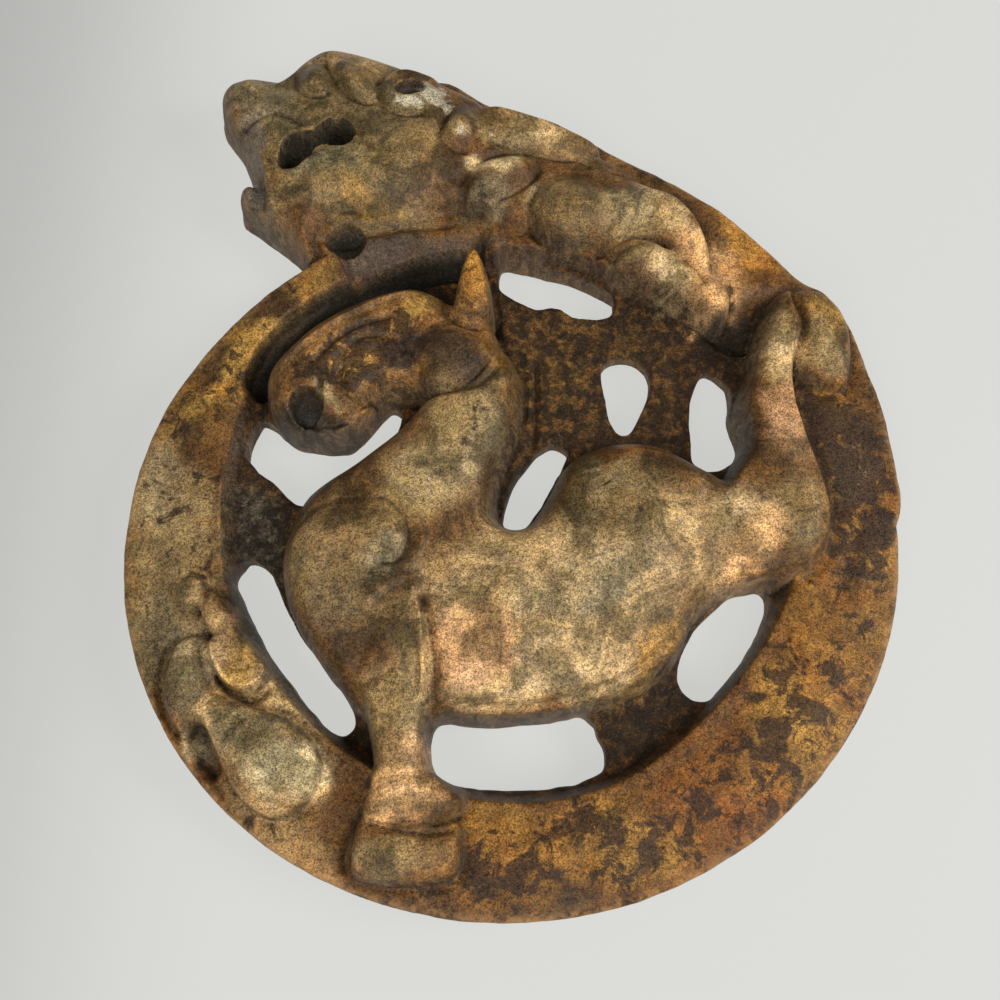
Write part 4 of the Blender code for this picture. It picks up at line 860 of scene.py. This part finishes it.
def skin_of(field, low, step):
    """One point in each cell that the field's zero crosses, at the mean of the crossings on the cell's
    edges, and one face round each grid edge that is crossed, turned to look out of the stone."""
    cells = []
    places = []
    shape = np.array(field.shape)
    strides = np.array((shape[1] * shape[2], shape[2], 1))
    for axis in range(3):
        second, third = (axis + 1) % 3, (axis + 2) % 3
        here = [slice(1, -1)] * 3
        there = [slice(1, -1)] * 3
        here[axis] = slice(0, -1)
        there[axis] = slice(1, None)
        near, far = field[tuple(here)], field[tuple(there)]
        crossed = np.argwhere((near < 0) != (far < 0))
        index = crossed + 1
        index[:, axis] -= 1
        near_value = near[tuple(crossed.T)]
        far_value = far[tuple(crossed.T)]
        point = index.astype(float)
        point[:, axis] += near_value / (near_value - far_value)
        flat = index @ strides
        around = np.column_stack((flat, flat - strides[second], flat - strides[second] - strides[third],
                                  flat - strides[third]))
        inward = near_value > 0
        around[inward] = around[inward][:, ::-1]
        cells.append(around)
        places.append(np.repeat(point, 4, axis=0))
    faces = np.vstack(cells)
    points = np.vstack(places)
    number = np.unique(faces.ravel(), return_inverse=True)[1].ravel()
    count = np.bincount(number)
    vertices = np.column_stack([np.bincount(number, weights=points[:, axis]) / count for axis in range(3)])
    return low + vertices * step, number.reshape(-1, 4)


def mesh_from(name, vertices, faces):
    """A mesh of four-sided faces."""
    mesh = bpy.data.meshes.new(name)
    mesh.vertices.add(len(vertices))
    mesh.vertices.foreach_set("co", vertices.astype(np.float32).ravel())
    mesh.loops.add(faces.size)
    mesh.loops.foreach_set("vertex_index", faces.astype(np.int32).ravel())
    mesh.polygons.add(len(faces))
    mesh.polygons.foreach_set("loop_start", np.arange(0, faces.size, 4, dtype=np.int32))
    mesh.update(calc_edges=True)
    return mesh


def thinned(made, triangles):
    """Replaces an object's mesh by one with at most so many triangles, that keeps its form."""
    change = made.modifiers.new("thin", "DECIMATE")
    change.ratio = triangles / (2 * len(made.data.polygons))
    bpy.context.view_layer.update()
    mesh = bpy.data.meshes.new_from_object(made.evaluated_get(bpy.context.evaluated_depsgraph_get()))
    made.modifiers.clear()
    made.data = mesh
    return mesh


def read_vectors(items, name, count):
    """One three-number property of many mesh items as an array."""
    values = np.zeros(3 * count, np.float32)
    items.foreach_get(name, values)
    return values.reshape(-1, 3)


def curving(mesh, rounds):
    """How far each point stands over a smoothed copy of the mesh, along its normal, in millimetres: above
    0 on ridges and below 0 in grooves. Each round moves the copy's points halfway to the mean of their
    neighbours."""
    places = read_vectors(mesh.vertices, "co", len(mesh.vertices)).astype(float)
    normals = read_vectors(mesh.vertex_normals, "vector", len(mesh.vertices)).astype(float)
    ends = np.zeros(2 * len(mesh.edges), np.int32)
    mesh.edges.foreach_get("vertices", ends)
    first, second = ends.reshape(-1, 2).T
    neighbours = np.bincount(first, minlength=len(places)) + np.bincount(second, minlength=len(places))

    def spread(values):
        total = (np.bincount(first, weights=values[second], minlength=len(places))
                 + np.bincount(second, weights=values[first], minlength=len(places)))
        return total / neighbours

    smooth = places.copy()
    for _ in range(rounds):
        smooth = 0.5 * smooth + 0.5 * np.column_stack([spread(smooth[:, axis]) for axis in range(3)])
    stands = np.einsum("ij,ij->i", places - smooth, normals) * 1000
    return 0.5 * stands + 0.5 * spread(stands)


def add_values(mesh, name, values):
    """A number on each point of a mesh, for the material."""
    attribute = mesh.attributes.new(name, "FLOAT", "POINT")
    attribute.data.foreach_set("value", values.astype(np.float32))


def add_colours(mesh, name, colours):
    """A colour on each point of a mesh, for the material."""
    attribute = mesh.attributes.new(name, "FLOAT_COLOR", "POINT")
    with_alpha = np.column_stack((colours, np.ones(len(colours))))
    attribute.data.foreach_set("color", with_alpha.astype(np.float32).ravel())


def colour_stone(plan, mesh):
    """Gives each point its patch's colour, how mottled it is there, how deep it lies, how it curves, and
    whether it is a wall, a web or a chip."""
    places = read_vectors(mesh.vertices, "co", len(mesh.vertices)).astype(float)
    normals = read_vectors(mesh.vertex_normals, "vector", len(mesh.vertices)).astype(float)
    x = places[:, 0] / plan.scale + plan.middle[0]
    y = places[:, 1] / plan.scale + plan.middle[1]

    def drift():
        return sum(plan.sample(plan.waves(width, height), x, y) for width, height in PATCH_DRIFT)

    def patch(gain, place, along, across, turn):
        return np.clip(gain * ellipse(x + drift_x, y + drift_y, place, along, across, turn), 0.0, 1.0)

    drift_x = drift()
    drift_y = drift()
    colour = np.tile(np.array(COLOURS["brown"]), (len(x), 1))
    for place, along, across, turn, name, strength in PATCHES.values():
        share = strength * patch(2.2, place, along, across, turn)
        colour += (np.array(COLOURS[name]) - colour) * share[:, None]
    risen = plan.sample(plan.figure, x, y)
    mottled = 0.3 - 0.6 * risen
    for place, along, across, turn, amount in MOTTLES.values():
        mottled += amount * patch(1.8, place, along, across, turn)
    chipped = np.zeros(len(x))
    for place, along, across, turn in CHIPS.values():
        chipped = np.maximum(chipped, ellipse(x + 0.3 * drift_x, y + 0.3 * drift_y, place, along * 1.6,
                                              across * 1.6, turn))
    # How far each point lies below its surroundings: where the painted shade of recesses goes
    sunk = plan.sample(blurred(plan.height, 4.0 / plan.step) - plan.height, x, y)
    top_side = np.clip(normals[:, 2] * 4, 0.0, 1.0)
    add_colours(mesh, "tone", np.clip(colour, 0.0, 1.0))
    add_values(mesh, "mottled", np.clip(mottled, -1.0, 1.2))
    add_values(mesh, "sunk", np.clip(sunk / 4.0, 0.0, 1.0) * top_side)
    add_values(mesh, "web", plan.sample(plan.web, x, y) * top_side)
    add_values(mesh, "figure", risen)
    # The pits' painted shade, on the carved face only
    add_values(mesh, "cavity", plan.sample(plan.cavity, x, y) * (places[:, 2] > LOWEST_FACE))
    # How steep each point is: where walls get their painted shade
    add_values(mesh, "wall", eased((0.75 - np.abs(normals[:, 2])) / 0.6))
    # How each point curves: it sets the painted shade in grooves and the painted highlight on ridges
    add_values(mesh, "curve", curving(mesh, 3))
    add_values(mesh, "broad_curve", curving(mesh, 14))
    add_values(mesh, "chipped", chipped * top_side)
    edge = np.exp(-(plan.sample(plan.side, x, y) / 1.3) ** 2)
    add_values(mesh, "outer_rim", edge * np.clip(2.5 * normals[:, 2] - 0.2, 0.0, 1.0))


class Nodes:
    """A short way to write a shader: each call adds a node and gives back its output."""

    def __init__(self, tree):
        self.tree = tree

    def link(self, value, socket):
        """Links a node's output to an input."""
        self.tree.links.new(value, socket)

    def add(self, kind, inputs=(), **settings):
        """Adds a node, sets its settings, and links or sets each of its inputs."""
        node = self.tree.nodes.new(kind)
        for name, value in settings.items():
            setattr(node, name, value)
        for name, value in dict(inputs).items():
            if isinstance(value, bpy.types.NodeSocket):
                self.link(value, node.inputs[name])
            else:
                node.inputs[name].default_value = value
        return node

    def group(self, tree, inputs):
        """The outputs of a node group placed in this shader."""
        return self.add("ShaderNodeGroup", inputs, node_tree=tree).outputs

    def maths(self, operation, *values):
        """The result of a maths node."""
        return self.add("ShaderNodeMath", enumerate(values), operation=operation).outputs[0]

    def times(self, first, second):
        """Two numbers multiplied."""
        return self.maths("MULTIPLY", first, second)

    def ranged(self, value, low, high, to_low=0.0, to_high=1.0):
        """A value taken from one range to another, smoothly."""
        inputs = {"Value": value, "From Min": low, "From Max": high, "To Min": to_low, "To Max": to_high}
        return self.add("ShaderNodeMapRange", inputs, interpolation_type="SMOOTHSTEP").outputs["Result"]

    def mixed(self, share, first, second, blend="MIX"):
        """Two colours mixed by a share."""
        inputs = {0: share, 6: first, 7: second}
        return self.add("ShaderNodeMix", inputs, data_type="RGBA", blend_type=blend).outputs[2]

    def tinted(self, colour, tint, share=1.0):
        """A colour multiplied by a tint, as far as the share says."""
        return self.mixed(share, colour, tint, "MULTIPLY")

    def noise(self, place, scale, detail, roughness, distortion=0.0):
        """Noise with so many bumps a metre."""
        inputs = {"Vector": place, "Scale": scale, "Detail": detail, "Roughness": roughness,
                  "Distortion": distortion}
        return self.add("ShaderNodeTexNoise", inputs).outputs["Fac"]

    def moved(self, place, **change):
        """A place shifted or stretched."""
        return self.add("ShaderNodeMapping", {"Vector": place, **change}).outputs["Vector"]

    def value_of(self, name):
        """A number that the mesh holds on its points."""
        return self.add("ShaderNodeAttribute", attribute_name=name).outputs["Fac"]


def node_group(name, inputs, outputs):
    """An empty shader group with its sockets, and its input node's outputs and output node's inputs."""
    group = bpy.data.node_groups.new(name, "ShaderNodeTree")
    for label, kind, default in inputs:
        socket = group.interface.new_socket(label, in_out="INPUT", socket_type=kind)
        if default is not None:
            socket.default_value = default
    for label in outputs:
        group.interface.new_socket(label, in_out="OUTPUT", socket_type="NodeSocketFloat")
    entry = group.nodes.new("NodeGroupInput")
    leave = group.nodes.new("NodeGroupOutput")
    return group, Nodes(group), entry.outputs, leave.inputs


def grain_group():
    """Crystal grain: a light and dark sugar-like grain about as wide as Size, and sparse bright flecks."""
    sockets = (("Place", "NodeSocketVector", None), ("Size", "NodeSocketFloat", 0.0005))
    group, nodes, given, out = node_group("stone_grain", sockets, ("Grain", "Flecks"))
    scale = nodes.maths("DIVIDE", 1.0, given["Size"])
    fine = nodes.noise(given["Place"], scale, 3.0, 0.75)
    coarse = nodes.noise(given["Place"], nodes.times(scale, 0.45), 2.0, 0.6)
    both = nodes.maths("ADD", nodes.times(fine, 0.72), nodes.times(coarse, 0.28))
    nodes.link(nodes.ranged(both, 0.38, 0.62), out["Grain"])
    cell_inputs = {"Vector": given["Place"], "Scale": nodes.times(scale, 0.8)}
    cells = nodes.add("ShaderNodeTexVoronoi", cell_inputs).outputs["Distance"]
    bright = nodes.ranged(cells, 0.30, 0.08)
    chosen = nodes.ranged(coarse, 0.50, 0.62)
    nodes.link(nodes.times(bright, chosen), out["Flecks"])
    return group


def mottle_group():
    """Mottling: ragged dark blotches that crowd together where the amount is high."""
    sockets = (("Place", "NodeSocketVector", None), ("Size", "NodeSocketFloat", 0.006),
               ("Amount", "NodeSocketFloat", 0.5))
    group, nodes, given, out = node_group("stone_mottle", sockets, ("Blotches",))
    scale = nodes.maths("DIVIDE", 1.0, given["Size"])
    cloud = nodes.noise(given["Place"], scale, 7.0, 0.68, 0.6)
    level = nodes.maths("SUBTRACT", 0.66, nodes.times(given["Amount"], 0.22))
    over = nodes.maths("SUBTRACT", cloud, level)
    nodes.link(nodes.ranged(over, -0.045, 0.055), out["Blotches"])
    return group


def body_colour(nodes, finish, place, tone, small_cloud):
    """The stone itself: its patch colours under soft clouds, olive, pale and rusty veils, a fine speckle
    and dark mottles. The olive and pale veils lie on the figures, and the rusty one more on the ground."""
    figure = nodes.value_of("figure")
    cloud = nodes.noise(place, 1 / CLOUD_SIZE, 6.0, 0.62, 0.6)
    other_place = nodes.moved(place, Location=(0.31, 0.17, 0.05))
    other_cloud = nodes.noise(other_place, 1 / VEIL_SIZE, 6.0, 0.64, 0.5)
    clouded = nodes.mixed(nodes.ranged(cloud, 0.36, 0.64), TINTS["dark_cloud"], TINTS["light_cloud"])
    colour = nodes.tinted(tone, clouded)
    olive = nodes.times(nodes.ranged(cloud, 0.53, 0.42, 0.0, 0.80), figure)
    colour = nodes.tinted(colour, TINTS["olive_veil"], olive)
    pale = nodes.times(nodes.ranged(other_cloud, 0.50, 0.66, 0.0, 0.60), figure)
    colour = nodes.tinted(colour, TINTS["pale_veil"], pale)
    on_ground = nodes.ranged(figure, 0.0, 1.0, 1.0, 0.4)
    rusty = nodes.times(nodes.ranged(other_cloud, 0.50, 0.36, 0.0, 0.60), on_ground)
    colour = nodes.tinted(colour, TINTS["rusty_veil"], rusty)
    speckle = nodes.ranged(small_cloud, 0.34, 0.66)
    colour = nodes.tinted(colour, nodes.mixed(speckle, TINTS["dark_speckle"], TINTS["light_speckle"]))
    mottles = nodes.group(mottle_group(), {"Place": place, "Size": finish.mottle_size,
                                           "Amount": nodes.value_of("mottled")})
    return nodes.mixed(nodes.times(mottles["Blotches"], 0.86), colour, (*finish.mottle_colour, 1))


def aged_colour(nodes, finish, place, tone, small_cloud, deep, wall, colour):
    """Painted shade, and what burial and handling did: dark painted shade mixed with dirt where the stone
    is deep, walls painted darker as shade with grey streaks, painted shade mixed with dirt in the grooves,
    painted shade in the carved cavities, a painted highlight on the ridges, and pale chips."""
    clean_web = nodes.tinted(tone, TINTS["clean_web"])
    # The sunk webs and recesses are painted dark as shade, mixed with dirt
    web_colour = nodes.mixed(nodes.ranged(small_cloud, 0.44, 0.68), TINTS["deep_shade_and_dirt"], clean_web)
    colour = nodes.mixed(deep, colour, web_colour)
    # Walls are painted dark as shade, with grey streaks
    streak = nodes.noise(nodes.moved(place, Scale=(1.0, 1.0, 0.45)), 1 / STREAK_SIZE, 6.0, 0.68, 0.8)
    grey_wall = nodes.mixed(0.55, tone, TINTS["grey_wall"])
    shaded_wall_colour = nodes.mixed(nodes.ranged(streak, 0.36, 0.66), TINTS["wall_shade"], grey_wall)
    colour = nodes.mixed(nodes.times(wall, 0.80), colour, shaded_wall_colour)
    # Grooves and broad hollows are painted dark, as shade mixed with dirt
    curve = nodes.value_of("curve")
    groove = nodes.ranged(curve, -0.02, -0.12, 0.0, 0.85)
    hollow = nodes.ranged(nodes.value_of("broad_curve"), -0.10, -0.7, 0.0, 0.6)
    colour = nodes.mixed(nodes.maths("MAXIMUM", groove, hollow), colour, (*finish.groove_shade_and_dirt_colour, 1))
    # Carved pits and hollows are painted near black as shade
    colour = nodes.mixed(nodes.times(nodes.value_of("cavity"), 0.9), colour, TINTS["cavity"])
    # Ridges are painted lighter as a highlight
    colour = nodes.tinted(colour, TINTS["ridge_highlight"], nodes.ranged(curve, 0.035, 0.14, 0.0, 0.55))
    ragged = nodes.maths("ADD", nodes.value_of("chipped"), nodes.ranged(small_cloud, 0.3, 0.7, -0.30, 0.30))
    return nodes.mixed(nodes.ranged(ragged, 0.35, 0.80, 0.0, 0.70), colour, (*finish.chip_colour, 1))


def stone_material(finish):
    """Mottled, grainy, half polished stone: the body's colour, aged and given painted shade and a painted
    highlight, with grain and flecks all over and a thin worn outer rim. The painted shade and dirt in the
    depths and the shaded walls are duller than the polished face."""
    made = bpy.data.materials.new("mottled_stone")
    made.use_nodes = True
    nodes = Nodes(made.node_tree)
    shader = made.node_tree.nodes["Principled BSDF"]
    place = nodes.add("ShaderNodeTexCoord").outputs["Object"]
    tone = nodes.add("ShaderNodeAttribute", attribute_name="tone").outputs["Color"]
    wall = nodes.value_of("wall")
    small_cloud = nodes.noise(place, 1 / SPECKLE_SIZE, 4.0, 0.66, 0.3)
    # Recesses and sunk webs, where shade and dirt are painted
    sunk = nodes.ranged(nodes.value_of("sunk"), 0.25, 0.85, 0.0, 0.9)
    deep = nodes.maths("MAXIMUM", nodes.times(nodes.value_of("web"), 0.85), sunk)
    grain = nodes.group(grain_group(), {"Place": place, "Size": finish.grain_size})
    colour = body_colour(nodes, finish, place, tone, small_cloud)
    colour = aged_colour(nodes, finish, place, tone, small_cloud, deep, wall, colour)
    colour = nodes.tinted(colour, nodes.mixed(grain["Grain"], TINTS["dark_grain"], TINTS["light_grain"]))
    colour = nodes.mixed(nodes.times(grain["Flecks"], 0.24), colour, (*finish.fleck_colour, 1))
    rim = nodes.times(nodes.value_of("outer_rim"), nodes.ranged(small_cloud, 0.36, 0.62, 0.0, 0.75))
    colour = nodes.mixed(rim, colour, (*finish.rim_colour, 1))
    nodes.link(colour, shader.inputs["Base Color"])
    shader.inputs["Specular IOR Level"].default_value = 0.25
    polish = nodes.ranged(grain["Grain"], 0.0, 1.0, finish.roughness - 0.06, finish.roughness + 0.10)
    dull = nodes.times(nodes.maths("MAXIMUM", deep, wall), 0.22)
    nodes.link(nodes.maths("ADD", polish, dull), shader.inputs["Roughness"])
    relief = nodes.maths("ADD", nodes.times(grain["Grain"], 0.6), nodes.times(small_cloud, 0.8))
    strength = nodes.maths("ADD", 0.35, nodes.times(deep, 0.6))
    bump = nodes.add("ShaderNodeBump", {"Height": relief, "Strength": strength,
                                        "Distance": finish.grain_height})
    nodes.link(bump.outputs["Normal"], shader.inputs["Normal"])
    return made


def length_property(name, description, default, **more):
    """A length in metres that can be changed in the panel."""
    return bpy.props.FloatProperty(name=name, description=description, default=default, unit="LENGTH",
                                   **more)


def colour_property(name, description, default):
    """A colour that can be changed in the panel."""
    return bpy.props.FloatVectorProperty(name=name, description=description, default=default,
                                         subtype="COLOR")


class StoneSizes(bpy.types.PropertyGroup):
    """Sizes of the carving."""
    long_radius: length_property("Long radius", "Half of the oval ring's long way", 0.0760)
    short_radius: length_property("Short radius", "Half of the ring's short way", 0.0725)
    disc_turn: bpy.props.FloatProperty(name="Turn", description="Turn of the ring's long way in its plane",
                                       default=math.radians(12.0), subtype="ANGLE")
    ring_thickness: length_property("Ring thickness", "Back to the ring's face", 0.0115)
    ring_camber: length_property("Ring camber", "Fall of the ring's face to its edges", 0.0006)
    web_thickness: length_property("Web thickness", "Thickness of the sunk webs", 0.0040)
    web_level: bpy.props.FloatProperty(name="Web level", description="Height of the webs' middle",
                                       default=0.39, subtype="FACTOR")
    figure_foot: bpy.props.FloatProperty(name="Figure foot", description="Where the figures' sides end",
                                         default=0.3, subtype="FACTOR")
    torso_relief: length_property("Torso relief", "Horse's torso over the ring", 0.0075)
    horse_head_relief: length_property("Horse head relief", "Horse's head over the ring", 0.0045)
    leg_relief: length_property("Leg relief", "Legs and hooves over the ring", 0.0055)
    beast_relief: length_property("Beast relief", "Beast's head over the ring", 0.0075)
    limb_relief: length_property("Limb relief", "Small curled limb over the ring", 0.0042)
    pit_floor: length_property("Pit floor", "Least stone left under a pit", 0.0025)
    rim_wear: length_property("Rim wear", "Radius of the worn edges of the face", 0.0011)
    back_wear: length_property("Back wear", "Radius of the worn edges of the back", 0.0006)
    grid_step: length_property("Grid step", "Width of the carving grid's cells", 0.00042, precision=5)
    triangles: bpy.props.IntProperty(name="Triangles", description="Most triangles in the finished stone",
                                     default=192000, min=1000)


class StoneFinish(bpy.types.PropertyGroup):
    """Colours and surface of the stone."""
    mottle_colour: colour_property("Mottles", "Colour of the dark mottles", (0.024, 0.013, 0.008))
    # Painted shade mixed with dirt, laid in the grooves and hollows
    groove_shade_and_dirt_colour: colour_property("Groove shade and dirt", "Colour of the dirt in the grooves", (0.026, 0.016, 0.008))
    fleck_colour: colour_property("Flecks", "Colour of the bright crystal flecks", (0.62, 0.47, 0.26))
    rim_colour: colour_property("Rim", "Colour of the thin worn outer rim", (0.36, 0.19, 0.07))
    chip_colour: colour_property("Chips", "Colour of the pale chips", (0.47, 0.45, 0.37))
    grain_size: length_property("Grain size", "Width of the crystal grains", 0.00031, precision=5)
    mottle_size: length_property("Mottle size", "Width of the dark mottles", 0.0048)
    grain_height: length_property("Grain height", "Height of the grain's bumps", 0.00022, precision=5)
    roughness: bpy.props.FloatProperty(name="Roughness", description="Roughness of the polished stone",
                                       default=0.36, subtype="FACTOR")


class StudioSettings(bpy.types.PropertyGroup):
    """The floor, the lights and the camera."""
    floor_colour: colour_property("Floor", "Colour of the pale floor", (0.12, 0.121, 0.1165))
    # The floor's glow is painted light
    floor_glow: bpy.props.FloatProperty(name="Floor glow", description="How brightly the floor glows",
                                        default=4.75)
    camera_place: bpy.props.FloatVectorProperty(name="Camera place", description="Where the camera stands",
                                                default=(-0.0031, -0.0852, 0.1969), subtype="TRANSLATION")
    camera_tilt: bpy.props.FloatProperty(name="Camera tilt", description="Tilt back from straight down",
                                         default=math.radians(20.0), subtype="ANGLE")
    key_power: bpy.props.FloatProperty(name="Key light", description="Power of the soft key light",
                                       default=7.6, unit="POWER")
    fill_power: bpy.props.FloatProperty(name="Fill light", description="Power of the soft fill light",
                                        default=7.0, unit="POWER")
    sky_strength: bpy.props.FloatProperty(name="Sky", description="Strength of the even light from around",
                                          default=0.32)


class MESH_OT_stone_carving(bpy.types.Operator):
    """Carve the openwork disc and give it its stone finish"""
    bl_idname = "mesh.stone_carving"
    bl_label = "Carve the stone"

    def execute(self, context):
        sizes = context.scene.stone_sizes
        plan = stone_plan(sizes)
        field, levels = stone_field(plan, sizes)
        low = np.array((plan.across[0], plan.along[0], levels[0]))
        vertices, faces = skin_of(field, low, plan.step)
        vertices[:, 0] = (vertices[:, 0] - plan.middle[0]) * plan.scale
        vertices[:, 1] = (vertices[:, 1] - plan.middle[1]) * plan.scale
        vertices[:, 2] = vertices[:, 2] / 1000
        made = bpy.data.objects.new("stone_carving", mesh_from("stone_carving", vertices, faces))
        context.scene.collection.objects.link(made)
        mesh = thinned(made, sizes.triangles)
        mesh.shade_smooth()
        colour_stone(plan, mesh)
        mesh.materials.clear()
        mesh.materials.append(stone_material(context.scene.stone_finish))
        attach(made, "root")
        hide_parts(NODE)
        return {"FINISHED"}


class SCENE_OT_stone_stage(bpy.types.Operator):
    """Set the pale floor, the soft lights and the camera round the stone"""
    bl_idname = "scene.stone_stage"
    bl_label = "Set the stage"

    def execute(self, context):
        studio = context.scene.stone_studio
        add_floor(context, studio)
        add_light(context, "key", *KEY_LIGHT, studio.key_power)
        add_light(context, "fill", *FILL_LIGHT, studio.fill_power)
        world = bpy.data.worlds.new("soft_room")
        world.use_nodes = True
        backdrop = world.node_tree.nodes["Background"]
        backdrop.inputs["Color"].default_value = (1.0, 1.0, 0.99, 1.0)
        backdrop.inputs["Strength"].default_value = studio.sky_strength
        context.scene.world = world
        context.scene.view_settings.view_transform = "Standard"
        add_camera(context, studio)
        return {"FINISHED"}


def add_floor(context, studio):
    """A wide level sheet just under the stone, that glows as painted light, and less to its left as painted
    shade.
    """
    corners = [(side * FLOOR_HALF, end * FLOOR_HALF, -FLOOR_DEPTH)
               for side, end in ((-1, -1), (1, -1), (1, 1), (-1, 1))]
    mesh = bpy.data.meshes.new("floor")
    mesh.from_pydata(corners, [], [(0, 1, 2, 3)])
    floor = bpy.data.objects.new("floor", mesh)
    context.scene.collection.objects.link(floor)
    made = bpy.data.materials.new("pale_floor")
    made.use_nodes = True
    shader = made.node_tree.nodes["Principled BSDF"]
    shader.inputs["Base Color"].default_value = (*studio.floor_colour, 1.0)
    shader.inputs["Emission Color"].default_value = (*studio.floor_colour, 1.0)
    nodes = Nodes(made.node_tree)
    place = nodes.add("ShaderNodeTexCoord").outputs["Object"]
    across = nodes.add("ShaderNodeSeparateXYZ", {"Vector": place}).outputs["X"]
    fade_start, fade_end, share = FLOOR_FADE
    # Painted light: the floor glows, and less to its left as painted shade
    glow = nodes.ranged(across, fade_end, fade_start, share * studio.floor_glow, studio.floor_glow)
    nodes.link(glow, shader.inputs["Emission Strength"])
    shader.inputs["Roughness"].default_value = 0.6
    shader.inputs["Specular IOR Level"].default_value = 0.2
    mesh.materials.append(made)


def add_light(context, name, place, size, power):
    """A square soft light that looks at the stone."""
    lamp = bpy.data.lights.new(name, "AREA")
    lamp.size = size
    lamp.energy = power
    made = bpy.data.objects.new(name, lamp)
    context.scene.collection.objects.link(made)
    made.location = place
    made.rotation_euler = (-made.location).to_track_quat("-Z", "Y").to_euler()


def add_camera(context, studio):
    """A camera with the photograph's field of view, tilted back from straight down."""
    lens = bpy.data.cameras.new("camera")
    lens.lens = 36.0
    lens.sensor_width = 36.0
    lens.clip_start = 0.01
    made = bpy.data.objects.new("camera", lens)
    context.scene.collection.objects.link(made)
    made.location = studio.camera_place
    made.rotation_euler = (studio.camera_tilt, 0.0, 0.0)
    context.scene.camera = made


class VIEW3D_PT_stone(bpy.types.Panel):
    """Sizes, finish and stage of the stone disc"""
    bl_idname = "VIEW3D_PT_stone"
    bl_label = "Stone disc"
    bl_space_type = "VIEW_3D"
    bl_region_type = "UI"
    bl_category = "Stone disc"

    def draw(self, context):
        for group in (context.scene.stone_sizes, context.scene.stone_finish, context.scene.stone_studio):
            for name in type(group).__annotations__:
                self.layout.prop(group, name)
        self.layout.operator(MESH_OT_stone_carving.bl_idname)
        self.layout.operator(SCENE_OT_stone_stage.bl_idname)


CLASSES = (StoneSizes, StoneFinish, StudioSettings, MESH_OT_stone_carving, SCENE_OT_stone_stage,
           VIEW3D_PT_stone)


def register():
    for kind in CLASSES:
        bpy.utils.register_class(kind)
    bpy.types.Scene.stone_sizes = bpy.props.PointerProperty(type=StoneSizes)
    bpy.types.Scene.stone_finish = bpy.props.PointerProperty(type=StoneFinish)
    bpy.types.Scene.stone_studio = bpy.props.PointerProperty(type=StudioSettings)


def unregister():
    del bpy.types.Scene.stone_studio
    del bpy.types.Scene.stone_finish
    del bpy.types.Scene.stone_sizes
    for kind in reversed(CLASSES):
        bpy.utils.unregister_class(kind)


def main():
    register()
    bpy.ops.mesh.stone_carving()
    bpy.ops.scene.stone_stage()


if __name__ == "__main__":
    main()
